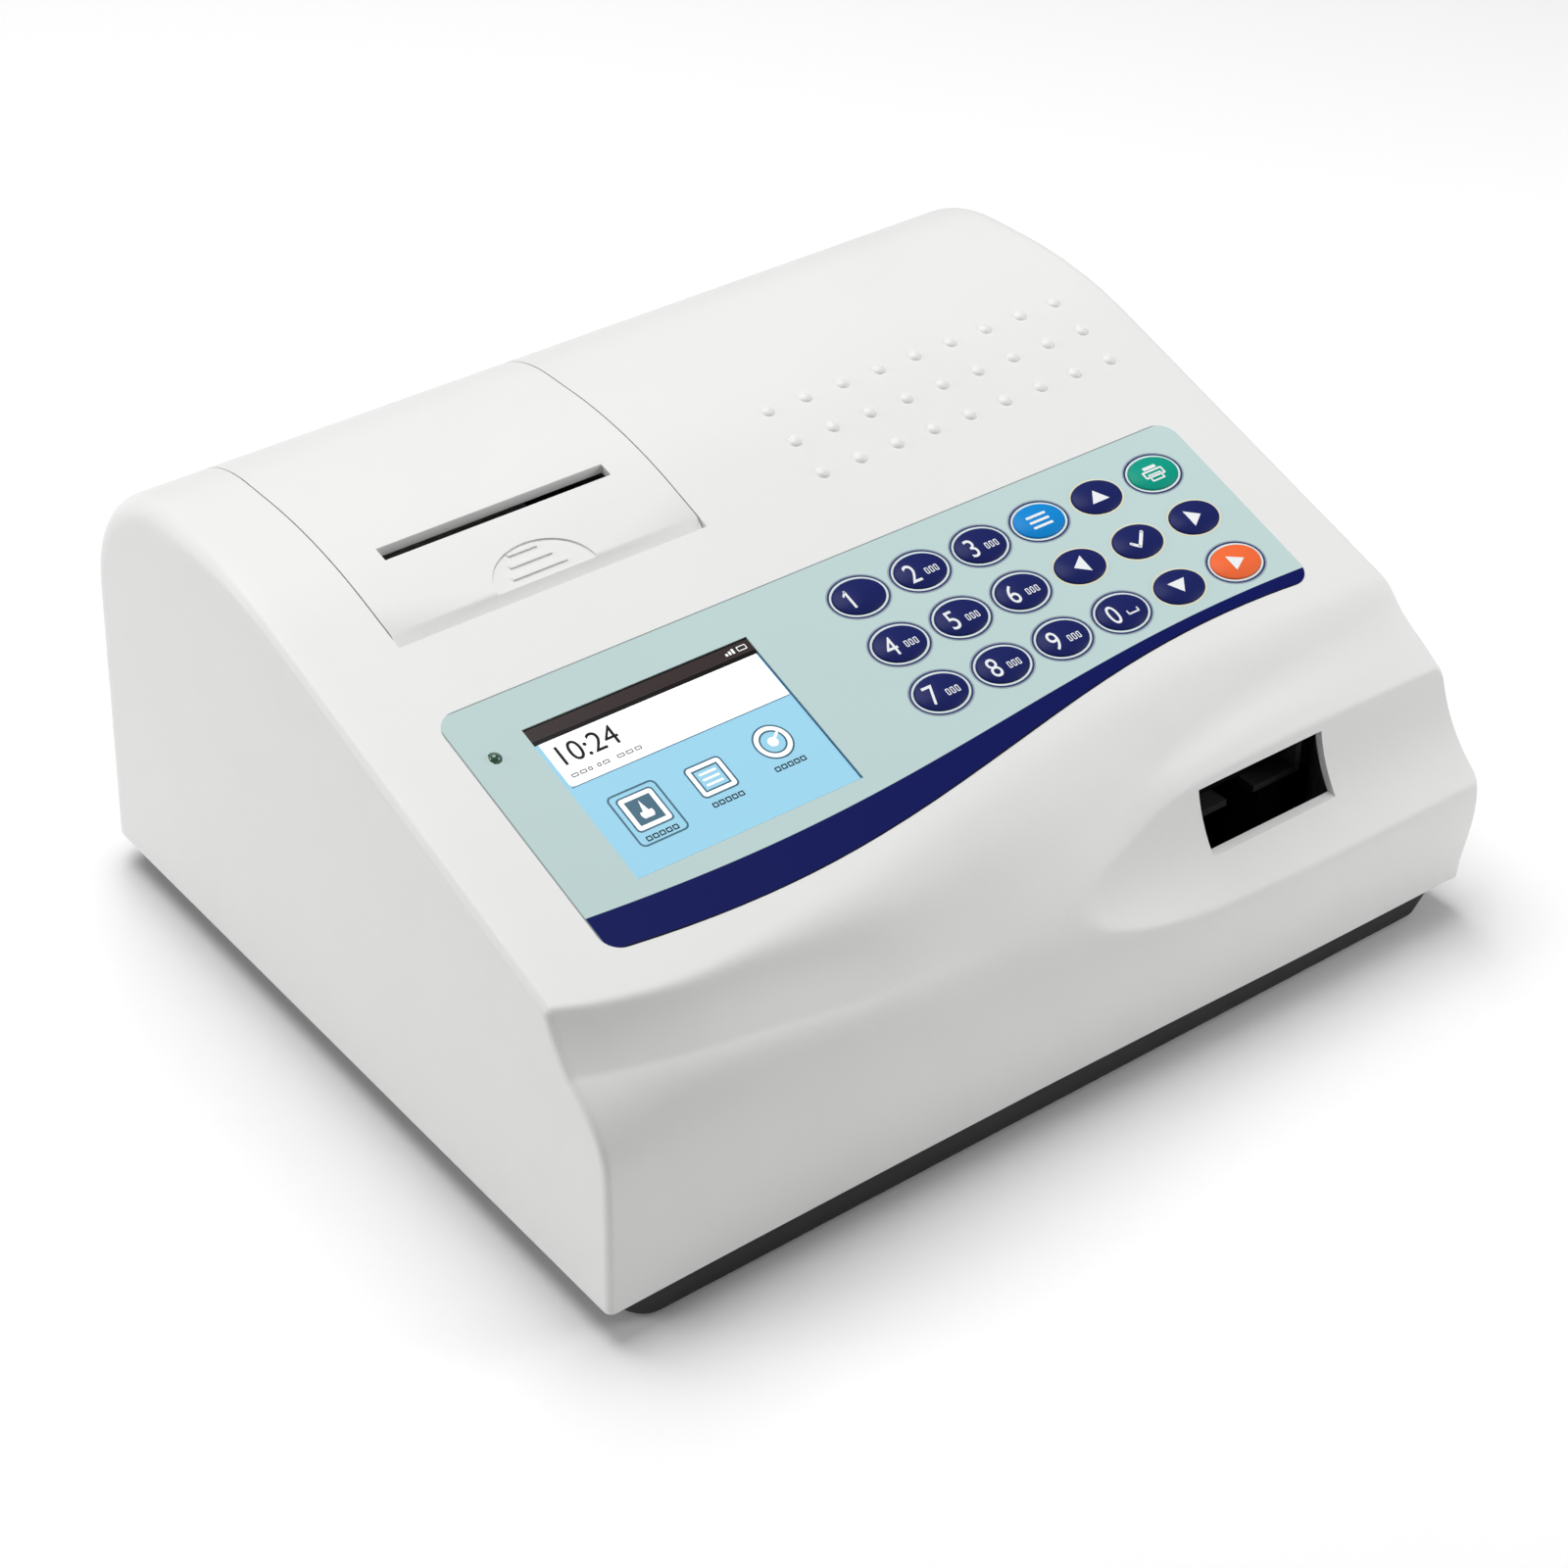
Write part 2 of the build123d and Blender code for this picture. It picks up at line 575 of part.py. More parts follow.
def make_paper_bay():
    """Open bucket under the cover: a shelf for the print mechanism and a round paper well."""
    well_z = roll_z - bay_round
    outer = box(bay_left - bay_wall, bay_right + bay_wall, bay_front - bay_wall,
                bay_rear + bay_wall, well_z - bay_wall, 160)
    tub = outer & roof_band(wall, 150, bay_left - 50, bay_right + 50, -20, 140, 1)
    flange = roof_band(wall, wall + bay_wall, bay_left - bay_flange, bay_right + bay_flange,
                       bay_front - 7, bay_rear + bay_wall, 50)
    split = roll_y - bay_round
    hollow = [box(bay_left, bay_right, bay_front, split + 2, mech_floor, 160),
              rod(bay_left, bay_right, roll_y, roll_z, bay_round),
              box(bay_left, bay_right, split, bay_rear, roll_z, 160)]
    under = box(bay_left - 9, bay_right + 9, bay_front - 9, split - 2, 0, mech_floor - bay_wall)
    body = fuse([tub, flange]) - hollow - under
    saddles = []
    for x0, x1 in ((bay_left - 1, bay_left + 6), (bay_right - 6, bay_right + 1)):
        saddle = box(x0, x1, roll_y - 8, roll_y + 8, well_z - 1, roll_z + 7)
        slot = box(x0 - 1, x1 + 1, roll_y - journal_radius - running_gap,
                   roll_y + journal_radius + running_gap, roll_z, roll_z + 20)
        saddles.append(saddle - slot - rod(x0 - 1, x1 + 1, roll_y, roll_z,
                                           journal_radius + running_gap))
    return fuse([body, *saddles])


def make_paper_roll():
    """Paper wound on a hollow core."""
    half = roll_width / 2
    return rod(cover_middle - half, cover_middle + half, roll_y, roll_z, roll_radius) - rod(
        cover_middle - half - 1, cover_middle + half + 1, roll_y, roll_z, core_radius)


def make_paper_spindle():
    """Spool through the paper core, with a journal at each end."""
    half = roll_width / 2
    return fuse([rod(cover_middle - half - 2, cover_middle + half + 2, roll_y, roll_z,
                     spindle_radius),
                 rod(bay_left + 0.5, bay_right - 0.5, roll_y, roll_z, journal_radius)])


def gear_outline(teeth, module, turn):
    """Involute-like gear outline: four flank points a tooth, thinned for backlash."""
    pitch, base = teeth * module / 2, teeth * module / 2 * cos(radians(20))
    tip, root = pitch + 0.8 * module, pitch - 1.1 * module
    backlash = 0.06 * module / pitch
    roll = lambda r: sqrt(max((r / base) ** 2 - 1, 0.0)) - acos(min(base / r, 1.0))
    half = pi / (2 * teeth) - backlash + roll(pitch)
    radii = [root, max(base, root + 0.1), (pitch + tip) / 2, tip]
    angles = [half - (roll(r) if r > base else 0.0) for r in radii]
    points = []
    for k in range(teeth):
        centre = radians(turn) + 2 * pi * k / teeth
        flank = list(zip(radii, angles))
        points += [(r * cos(centre - a), r * sin(centre - a)) for r, a in flank]
        points += [(r * cos(centre + a), r * sin(centre + a)) for r, a in reversed(flank)]
    return points


def make_gear(x0, width, y, z, teeth, module, turn, bore):
    """Spur gear about a shaft along X; turn is the direction of one tooth, from +Y to +Z."""
    outline = [(y + a, z + b) for a, b in gear_outline(teeth, module, turn)]
    gear = side_plate(outline, x0, x0 + width)
    return gear - rod(x0 - 1, x0 + width + 1, y, z, bore) if bore else gear


def mesh_turn(own_turn, own_teeth, direction, mate_teeth):
    """Turn of a mating gear that lies in the given direction from a gear."""
    pitch = 360.0 / own_teeth
    ahead = (own_turn - direction) % pitch
    return direction + 180.0 + 180.0 / mate_teeth - ahead * own_teeth / mate_teeth


def step_from(y, z, teeth, mate_teeth, direction):
    """Axis of a mating gear of the printer train."""
    distance = printer_module * (teeth + mate_teeth) / 2
    return y + distance * cos(radians(direction)), z + distance * sin(radians(direction))


def printer_gear_x():
    """Left side of the printer's gears, just outside the right side plate."""
    return cover_middle + mech_half_width + plate + 0.5


def make_print_frame():
    """Bent steel frame of the print mechanism with the idler's stud."""
    x0, x1 = cover_middle - mech_half_width, cover_middle + mech_half_width
    outline = [(13, mech_floor), (48, mech_floor), (48, 100), (44, 112), (44, platen_z + 4),
               (40, platen_z + 7), (30, platen_z + 7), (13, 112)]
    sides = [side_plate(outline, x0 - plate, x0), side_plate(outline, x1, x1 + plate)]
    floor = box(x0 - plate, x1 + plate, 13, 48, mech_floor, mech_floor + plate)
    rail = box(x0 - 0.5, x1 + 0.5, 13, 13 + plate, 106, 112)
    idler = step_from(platen_y, platen_z, platen_teeth, idler_teeth, idler_angle)
    pinion = step_from(*idler, idler_teeth, pinion_teeth, pinion_angle)
    stud = rod(x1 + plate - 0.5, printer_gear_x() + gear_width + 0.4, *idler, 1.5)
    cuts = [rod(x0 - 9, x1 + 9, platen_y, platen_z, platen_shaft_radius + running_gap),
            rod(x1 - 1, x1 + 9, *pinion, 2.0),
            rod(x0 - 9, x0 + 1, lever_y, lever_z, 1.5 + running_gap)]
    return fuse([*sides, floor, rail]) - cuts + stud


def make_print_head():
    """Thermal head: heater plate on a finned aluminium block."""
    half = platen_length / 2 + 1
    x0, x1 = cover_middle - half, cover_middle + half
    face = platen_y - platen_radius - 0.1
    block = box(x0, x1, face - 5, face, platen_z - 8, platen_z + 6)
    fins = [box(x0 + 4 + 6.5 * i, x0 + 6 + 6.5 * i, face - 7.5, face - 5, platen_z - 7,
                platen_z + 5) for i in range(9) if i not in (1, 7)]
    return fuse([block, *fins])


def make_head_springs():
    """Two leaf springs between the frame's rail and the print head."""
    front, back = 13 + plate, platen_y - platen_radius - 5.1
    z = 109.0
    t = 0.5
    outline = [(front, z - 3), (front + t, z - 3), (front + t, z + 1), (back, z + 3.5),
               (back, z + 8), (back - t, z + 8), (back - t, z + 3.9), (front, z + 1.4)]
    return fuse_all([side_plate(outline, x - 3, x + 3)
                     for x in (cover_middle - 21.0, cover_middle + 21.0)])


def make_print_motor():
    """Round stepper inside the frame's right side plate."""
    idler = step_from(platen_y, platen_z, platen_teeth, idler_teeth, idler_angle)
    y, z = step_from(*idler, idler_teeth, pinion_teeth, pinion_angle)
    x1 = cover_middle + mech_half_width
    can = rod(x1 - motor_length, x1, y, z, motor_radius)
    terminal = box(x1 - motor_length + 2, x1 - motor_length + 9, y - 4, y + 4,
                   z - motor_radius - 2, z - motor_radius + 1)
    return fuse([can, terminal]) - rod(x1 - 5, x1 + 1, y, z, 1.1)


def make_platen_shaft():
    """Steel shaft of the platen roller."""
    return rod(cover_middle - mech_half_width - plate - 1.5,
               printer_gear_x() + gear_width + 0.5, platen_y, platen_z, platen_shaft_radius)


def make_platen_roller():
    """Rubber roller on the platen shaft."""
    half = platen_length / 2
    return rod(cover_middle - half, cover_middle + half, platen_y, platen_z, platen_radius) - rod(
        cover_middle - half - 1, cover_middle + half + 1, platen_y, platen_z,
        platen_shaft_radius)


def printer_gears():
    """Platen gear, idler and motor pinion, in mesh."""
    x0 = printer_gear_x()
    idler = step_from(platen_y, platen_z, platen_teeth, idler_teeth, idler_angle)
    pinion = step_from(*idler, idler_teeth, pinion_teeth, pinion_angle)
    platen_turn = 0.0
    idler_turn = mesh_turn(platen_turn, platen_teeth, idler_angle, idler_teeth)
    pinion_turn = mesh_turn(idler_turn, idler_teeth, pinion_angle, pinion_teeth)
    first = make_gear(x0, gear_width, platen_y, platen_z, platen_teeth, printer_module,
                      platen_turn, platen_shaft_radius)
    second = make_gear(x0 + 0.3, gear_width - 0.6, *idler, idler_teeth, printer_module,
                       idler_turn, 1.5 + running_gap)
    third = make_gear(x0, gear_width, *pinion, pinion_teeth, printer_module, pinion_turn, 0)
    shaft = rod(cover_middle + mech_half_width - 4, x0 + 0.5, *pinion, 1.0)
    return first, second, third + shaft


def make_release_lever():
    """Lever that lifts the print head off the paper."""
    x1 = cover_middle - mech_half_width - plate - 0.4
    x0 = x1 - 2.5
    arm = side_plate([(lever_y - 3.5, lever_z - 3), (lever_y + 3.5, lever_z - 3),
                      (lever_y + 2.5, lever_z + lever_reach - 4),
                      (lever_y + 4.5, lever_z + lever_reach),
                      (lever_y - 3.5, lever_z + lever_reach)], x0, x1)
    hub = rod(x0, x1, lever_y, lever_z, 4.5)
    pin = rod(x1 - 0.5, x1 + plate + 1.4, lever_y, lever_z, 1.5)
    return fuse([arm, hub, pin])


# ================================================================ strip transport
def drive_axis_z():
    """Height of the tray drive pinion's axis."""
    return rack_pitch_z - rack_module * tray_pinion_teeth / 2


def make_strip_tray():
    """Tray with a pocket for the strip carrier and a rack under it."""
    half = tray_width / 2
    rear = tray_front + tray_length
    plate_body = box(opening_x - half, opening_x + half, tray_front, rear, tray_bottom, tray_top)
    nose = fillet(plate_body.edges().filter_by(Axis.Z).group_by(Axis.Y)[0], 5)
    rails = [box(opening_x + side * half - (2.4 if side > 0 else 0),
                 opening_x + side * half + (0 if side > 0 else 2.4), tray_front + 30, rear,
                 tray_top - 1.6, tray_top + 1) for side in (-1, 1)]
    pocket = carrier_box(tray_gap / 2, 2)
    return fuse([nose, make_rack()]) - pocket - rails


def make_rack():
    """Straight gear teeth under the tray, a gap centred on the pinion at rest."""
    pitch, m = pi * rack_module, rack_module
    lean, half = tan(radians(20)), pi * rack_module / 4 - 0.06
    count = int((tray_travel + 12) / pitch)
    points = [(drive_y - 2 * pitch, tray_bottom + 0.5), (drive_y - 2 * pitch, rack_pitch_z + 1.1 * m)]
    for i in range(-1, count):
        y = drive_y + (i + 0.5) * pitch
        points += [(y - half - 1.1 * m * lean, rack_pitch_z + 1.1 * m),
                   (y - half + 0.8 * m * lean, rack_pitch_z - 0.8 * m),
                   (y + half - 0.8 * m * lean, rack_pitch_z - 0.8 * m),
                   (y + half + 1.1 * m * lean, rack_pitch_z + 1.1 * m)]
    points.append((points[-1][0], tray_bottom + 0.5))
    return side_plate(points, opening_x - rack_width / 2, opening_x + rack_width / 2)


def carrier_box(gap, over=0.0):
    """Space of the removable strip carrier in the tray."""
    half = tray_width / 2 - 6
    return box(opening_x - half - gap, opening_x + half + gap, tray_front + 6 - gap,
               tray_front + 128 + gap, tray_top - 2.5, tray_top + over)


def make_strip_carrier():
    """Removable carrier with the strip groove and a reference pad window."""
    half = groove_width / 2
    groove = box(opening_x - half, opening_x + half, tray_front - 9, tray_front + 118,
                 tray_top - groove_depth, tray_top + 9)
    window = box(opening_x - half - 3, opening_x + half + 3, tray_front + 121, tray_front + 126,
                 tray_top - 0.6, tray_top + 9)
    drain = box(opening_x - 9, opening_x + 9, tray_front + 10, tray_front + 20,
                tray_top - groove_depth, tray_top + 9)
    return carrier_box(0) - groove - window - drain


def make_transport_frame():
    """Guide channel for the tray on four legs, with the drive bracket."""
    inner = tray_width / 2 + tray_gap
    x0, x1 = opening_x - inner - channel_wall, opening_x + inner + channel_wall
    floor_top = tray_bottom - tray_gap
    walls = [box(x0, x0 + channel_wall, channel_front, channel_rear, floor_top - 2, channel_top),
             box(x1 - channel_wall, x1, channel_front, channel_rear, floor_top - 2, channel_top)]
    floor = box(x0, x1, channel_front, channel_rear, floor_top - channel_floor, floor_top)
    rack_way = box(opening_x - rack_width / 2 - 1, opening_x + rack_width / 2 + 1,
                   channel_front - 1, channel_rear - 6, floor_top - 9, floor_top + 1)
    lips = [box(x0, x0 + channel_wall + 2.0, channel_front + 36, channel_rear, tray_top + 1.3,
                tray_top + 3), box(x1 - channel_wall - 2.0, x1, channel_front + 36,
                                   channel_rear, tray_top + 1.3, tray_top + 3)]
    end = box(x0, x1, channel_rear, channel_rear + channel_wall, floor_top - 2, channel_top)
    axis_z = drive_axis_z()
    r = stepper_side / 2
    motor_plate = box(x1 - channel_wall, x1, drive_y - r, drive_y + r, axis_z - r, floor_top)
    bearing = box(opening_x - rack_width / 2 - 3.4, opening_x - rack_width / 2 - 1.2,
                  drive_y - 6, drive_y + 6, axis_z - 5, floor_top - 0.5)
    legs = []
    for x in (x0 + 4, x1 - 4):
        for y in (channel_front + 12, channel_rear - 8):
            leg = loft([(Pos(x, y, floor_top - 1.5) * Rectangle(8, 10)).face(),
                        (Pos(x, y, base_bottom_z + base_wall) * Rectangle(8, 16)).face()])
            legs.append(leg)
    holes = [rod(x1 - 9, x1 + 1, drive_y, axis_z, stepper_shaft + 1.0),
             rod(opening_x - 12, opening_x - 3, drive_y, axis_z, 2 + running_gap)]
    return fuse([*walls, floor, *lips, end, motor_plate, bearing, *legs]) - rack_way - holes


def make_drive_pinion():
    """Pinion that moves the tray, on its shaft."""
    x0 = opening_x - rack_width / 2 + 1
    z = drive_axis_z()
    wheel = make_gear(x0, rack_width - 2, drive_y, z, tray_pinion_teeth, rack_module, 90.0, 0)
    side_x = opening_x + tray_width / 2 + tray_gap + channel_wall
    return fuse([wheel, rod(x0 + 1, side_x + 3, drive_y, z, stepper_shaft),
                 rod(opening_x - rack_width / 2 - 4.2, x0 + 1.5, drive_y, z, 2.0)])


def make_tray_motor():
    """Square stepper on the side of the transport frame."""
    x0 = opening_x + tray_width / 2 + tray_gap + channel_wall
    z, r = drive_axis_z(), stepper_side / 2
    can = box(x0, x0 + stepper_length, drive_y - r, drive_y + r, z - r, z + r)
    can = chamfer(can.edges().filter_by(Axis.X), 3)
    return can - rod(x0 - 1, x0 + 4, drive_y, z, stepper_shaft + 0.1)


def make_optics_head():
    """Light-tight block over the tray with its measuring tunnel."""
    inner = tray_width / 2 + tray_gap + channel_wall
    top = channel_top + optics_height
    block = box(opening_x - inner, opening_x + inner, optics_front, optics_rear, channel_top, top)
    block = chamfer(block.edges().filter_by(Axis.X).group_by(Axis.Z)[-1], 4)
    tunnel = box(opening_x - 8, opening_x + 8, optics_front + 6, optics_rear - 6,
                 channel_top - 1, top - 5)
    lens = post(opening_x, (optics_front + optics_rear) / 2, top - 6, top + 1, 3)
    return block - tunnel - lens


def make_optics_board():
    """Sensor board with its ribbon socket, on top of the optics head."""
    top = channel_top + optics_height
    x0, x1 = opening_x - 18, opening_x + 18
    return fuse([box(x0, x1, optics_front + 4, optics_rear - 4, top, top + board_thickness),
                 box(x1 - 14, x1 - 2, optics_rear - 12, optics_rear - 6, top + 1, top + 4.5),
                 post(opening_x, (optics_front + optics_rear) / 2, top - 3, top + 0.5, 2.4)])


# ================================================================ base and ports
def base_outline(z, side_inset, front_inset):
    """Flat rounded outline of the base at one height."""
    front = slice_at(0.0).foot_y + front_inset
    rear = rear_wall_y(shell_base_z) - side_inset * 0.6
    width = body_width - 2 * side_inset
    sketch = Pos(0, (front + rear) / 2, z) * RectangleRounded(width, rear - front, 8)
    return sketch.face()


def make_base_pan():
    """Black base: sloping sides, inner lip, posts for boards and screws."""
    low, high = base_inset + base_slope, base_inset
    top_z = shell_base_z + base_lip
    lip_inset = wall + lip_gap
    lip_front = slice_at(0.0).foot_y + lip_inset + 0.2
    lip_rear = rear_wall_y(top_z) - lip_inset - 0.6
    lip_width = body_width - 2 * lip_inset - 1.2
    lip_middle = (lip_front + lip_rear) / 2
    lip_depth = lip_rear - lip_front
    front_low = base_front_inset + base_front_slope
    hull = loft([base_outline(base_bottom_z, low, front_low),
                 base_outline(shell_base_z, high, base_front_inset)])
    lip = Pos(0, lip_middle, shell_base_z - 1) * extrude(
        RectangleRounded(lip_width, lip_depth, 4), base_lip + 1)
    lip = lip & box(-500, 500, -500, 500, shell_base_z - 0.01, 100)
    floor_z = base_bottom_z + base_wall
    hollow = loft([base_outline(floor_z, low + 1.5, front_low + base_wall + 1),
                   base_outline(shell_base_z, high + base_seat, base_front_inset + base_seat)])
    hollow_up = Pos(0, lip_middle, shell_base_z - 0.5) * extrude(
        RectangleRounded(lip_width - 2 * base_wall - 3, lip_depth - 2 * base_wall - 3, 3), 20)
    pan = fuse([hull, lip]) - hollow - hollow_up
    posts = [post(x, y, base_bottom_z + 0.5, boss_top_z, boss_radius + 1) for x, y in boss_places]
    posts += [post(x, y, floor_z - 0.5, floor_z + board_post, 3.5)
              for x, y in board_corners(main_board_box, 5) + board_corners(power_board_box, 5)]
    cuts = [post(x, y, base_bottom_z - 1, base_bottom_z + 6, case_screw_head + 0.4)
            for x, y in boss_places]
    cuts += [post(x, y, base_bottom_z, boss_top_z + 1, case_screw_radius + 0.2)
             for x, y in boss_places]
    cuts += [post(x, y, base_bottom_z - 1, foot_height, foot_radius + 0.1)
             for x, y in foot_places]
    cuts += [post(x, y, boss_top_z, boss_top_z + 9, boss_radius + 0.4) for x, y in boss_places]
    vents = [box(20 + 8 * i, 23 + 8 * i, 20, 60, 0, floor_z + 1) for i in range(4)]
    return fuse([pan, *posts]) - [*cuts, *vents]


def make_feet():
    """Four rubber pads."""
    return fuse_all([chamfer(post(x, y, 0, foot_height, foot_radius).edges().sort_by(Axis.Z)[0],
                             0.6) for x, y in foot_places])


def make_case_screws():
    """Screws up through the base into the shell's bosses."""
    head_top = base_bottom_z + 6
    return fuse_all([post(x, y, head_top - 2.4, head_top, case_screw_head)
                     + post(x, y, head_top - 0.5, boss_top_z + 9, case_screw_radius)
                     for x, y in boss_places])


def make_board(limits, blocks, holes_at):
    """Flat board on the base with its soldered blocks, each x, y, width, depth, height."""
    x0, x1, y0, y1 = limits
    low = base_bottom_z + base_wall + board_post
    top = low + board_thickness
    sheet = box(x0, x1, y0, y1, low, top)
    parts = [box(x0 + x, x0 + x + w, y0 + y, y0 + y + d, top - 0.5, top + h)
             for x, y, w, d, h in blocks]
    holes = [post(x, y, low - 1, top + 1, 1.6) for x, y in holes_at]
    holes += [post(x, y, low - 1, top + 1, boss_radius + 2) for x, y in boss_places]
    return fuse([sheet, *parts]) - holes


def make_main_board():
    """Main board: processor, memory, sockets, coin cell and buzzer."""
    blocks = [(60, 40, 22, 22, 1.8), (92, 42, 12, 18, 1.5), (20, 20, 9, 30, 6),
              (20, 62, 9, 20, 6), (120, 12, 30, 6, 8), (120, 88, 34, 6, 8), (130, 40, 10, 8, 4)]
    board = make_board(main_board_box, blocks, board_corners(main_board_box, 5))
    x0, _, y0, _ = main_board_box
    top = base_bottom_z + base_wall + board_post + board_thickness
    cell = post(x0 + 48, y0 + 82, top - 0.5, top + 5, 10.5)
    buzzer = post(x0 + 150, y0 + 64, top - 0.5, top + 9, 6)
    return fuse([board, cell, buzzer])


def make_power_board():
    """Power board: transformer, heat sink, capacitors and terminal block."""
    blocks = [(30, 30, 34, 30, 28), (80, 20, 4, 44, 22), (8, 10, 14, 10, 12), (88, 76, 20, 10, 12)]
    board = make_board(power_board_box, blocks, board_corners(power_board_box, 5))
    x0, _, y0, _ = power_board_box
    top = base_bottom_z + base_wall + board_post + board_thickness
    cans = [post(x0 + 18, y0 + 48, top - 0.5, top + 26, 9),
            post(x0 + 70, y0 + 76, top - 0.5, top + 18, 6),
            post(x0 + 52, y0 + 78, top - 0.5, top + 14, 5)]
    return fuse([board, *cans])


def make_power_inlet():
    """Mains inlet: rounded flange, socket well and three blades."""
    flange = box(inlet_x - 18, inlet_x + 18, port_face_y, port_face_y + 3,
                 port_z - 12.5, port_z + 12.5)
    flange = fillet(flange.edges().filter_by(Axis.Y), 3)
    body = box(inlet_x - inlet_width / 2, inlet_x + inlet_width / 2,
               port_face_y - inlet_depth, port_face_y + 0.5,
               port_z - inlet_height / 2, port_z + inlet_height / 2)
    well = box(inlet_x - 12, inlet_x + 12, port_face_y - inlet_depth + 3, port_face_y + 9,
               port_z - 8.2, port_z + 8.2)
    well = chamfer(well.edges().filter_by(Axis.Y).group_by(Axis.Z)[-1], 4)
    blades = [box(x - 1, x + 1, port_face_y - inlet_depth + 2, port_face_y - 3, z - 2, z + 2)
              for x, z in ((inlet_x - 7, port_z - 2), (inlet_x + 7, port_z - 2),
                           (inlet_x, port_z + 2))]
    return fuse([flange, body]) - well + blades


def make_switch_housing():
    """Frame of the power switch."""
    flange = box(switch_x - 8, switch_x + 8, port_face_y, port_face_y + 1.8,
                 port_z - 11, port_z + 11)
    flange = fillet(flange.edges().filter_by(Axis.Y), 1.5)
    body = box(switch_x - 6.4, switch_x + 6.4, port_face_y - 13, port_face_y + 0.5,
               port_z - 9.4, port_z + 9.4)
    well = box(switch_x - 5.2, switch_x + 5.2, port_face_y - 9, port_face_y + 9,
               port_z - 8.4, port_z + 8.4)
    tabs = [box(switch_x + dx - 1, switch_x + dx + 1, port_face_y - 20, port_face_y - 12.5,
                port_z + dz - 2.4, port_z + dz + 2.4) for dx, dz in ((0, -5), (0, 5))]
    axle = rod(switch_x - 6, switch_x + 6, port_face_y - 3, port_z, 1.0)
    return fuse([flange, body, *tabs]) - well + axle


def make_power_rocker():
    """Rocker of the power switch, resting with its lower end out."""
    y, z = port_face_y - 3, port_z
    reach = 7.6
    outline = [(y - 3.2, z), (y + 1, z + reach), (y + 3.6, z + reach), (y + 3.0, z),
               (y + 3.6, z - reach), (y + 1, z - reach)]
    body = side_plate(outline, switch_x - 4.9, switch_x + 4.9)
    body = body - rod(switch_x - 9, switch_x + 9, y, z, 1.0 + running_gap)
    return Rot(0, 0, 0) * body.rotate(Axis((switch_x, y, z), (1, 0, 0)), rocker_tilt)


def make_serial_port():
    """Nine-way socket: flange, D-shaped shell and its holes."""
    y = port_face_y
    flange = box(serial_x - 15.4, serial_x + 15.4, y, y + 1, serial_z - 6.2, serial_z + 6.2)
    flange = flange - [side_rod(serial_x + s * jack_spacing / 2, serial_z, y - 1, y + 2, 1.6)
                       for s in (-1, 1)]
    outline = Polyline((-8.2, 3.9), (8.2, 3.9), (7.0, -3.9), (-7.0, -3.9), close=True)
    face_plane = Plane(origin=(serial_x, y, serial_z), x_dir=(1, 0, 0), z_dir=(0, -1, 0))
    shell = extrude(face_plane * fillet(make_face(outline).vertices(), 1.2), -6)
    body = box(serial_x - 9.5, serial_x + 9.5, y - 10, y + 0.3, serial_z - 5, serial_z + 5)
    holes = [side_rod(serial_x - 5.48 + 2.74 * i, serial_z + 1.4, y + 1, y + 7, 0.6)
             for i in range(5)]
    holes += [side_rod(serial_x - 4.11 + 2.74 * i, serial_z - 1.4, y + 1, y + 7, 0.6)
              for i in range(4)]
    return fuse([flange, shell, body]) - holes


def side_rod(x, z, y0, y1, radius):
    """Round rod along Y."""
    start = Plane(origin=(x, y0, z), x_dir=(1, 0, 0), z_dir=(0, 1, 0))
    return extrude(start * Circle(radius), y1 - y0)


def make_jack_screws():
    """Two hexagon screws with threaded holes beside the serial socket."""
    y = port_face_y + 1
    screws = []
    for side in (-1, 1):
        x = serial_x + side * jack_spacing / 2
        start = Plane(origin=(x, y, serial_z), x_dir=(1, 0, 0), z_dir=(0, 1, 0))
        nut = extrude(start * RegularPolygon(2.75, 6), jack_length)
        stem = side_rod(x, serial_z, y - 6, y + 0.5, 1.4)
        screws.append(nut + stem - side_rod(x, serial_z, y + 0.4, y + jack_length + 1,
                                            jack_thread_radius))
    return fuse_all(screws)


def make_usb_port():
    """Square data socket with its tongue."""
    y = port_face_y
    shell = box(usb_x - 6, usb_x + 6, y - 12, y + 1.5, usb_z - 5.5, usb_z + 5.5)
    well = box(usb_x - 4.2, usb_x + 4.2, y - 9, y + 9, usb_z - 3.9, usb_z + 3.9)
    well = chamfer(well.edges().filter_by(Axis.Y).group_by(Axis.Z)[-1], 1.5)
    tongue = box(usb_x - 2.8, usb_x + 2.8, y - 9.5, y - 1, usb_z - 1.6, usb_z + 0.6)
    return shell - well + tongue


# ================================================================ white shell
def port_cutouts():
    """Holes in the rear port plate."""
    y0, y1 = port_face_y - 9, port_face_y + 9
    return [box(inlet_x - inlet_width / 2 - 0.1, inlet_x + inlet_width / 2 + 0.1, y0, y1,
                port_z - inlet_height / 2 - 0.1, port_z + inlet_height / 2 + 0.1),
            box(switch_x - 6.5, switch_x + 6.5, y0, y1, port_z - 9.5, port_z + 9.5),
            box(serial_x - 9.6, serial_x + 9.6, y0, y1, serial_z - 5.1, serial_z + 5.1),
            box(usb_x - 6.1, usb_x + 6.1, y0, y1, usb_z - 5.6, usb_z + 5.6),
            *[side_rod(serial_x + s * jack_spacing / 2, serial_z, y0, y1, 1.6)
              for s in (-1, 1)]]


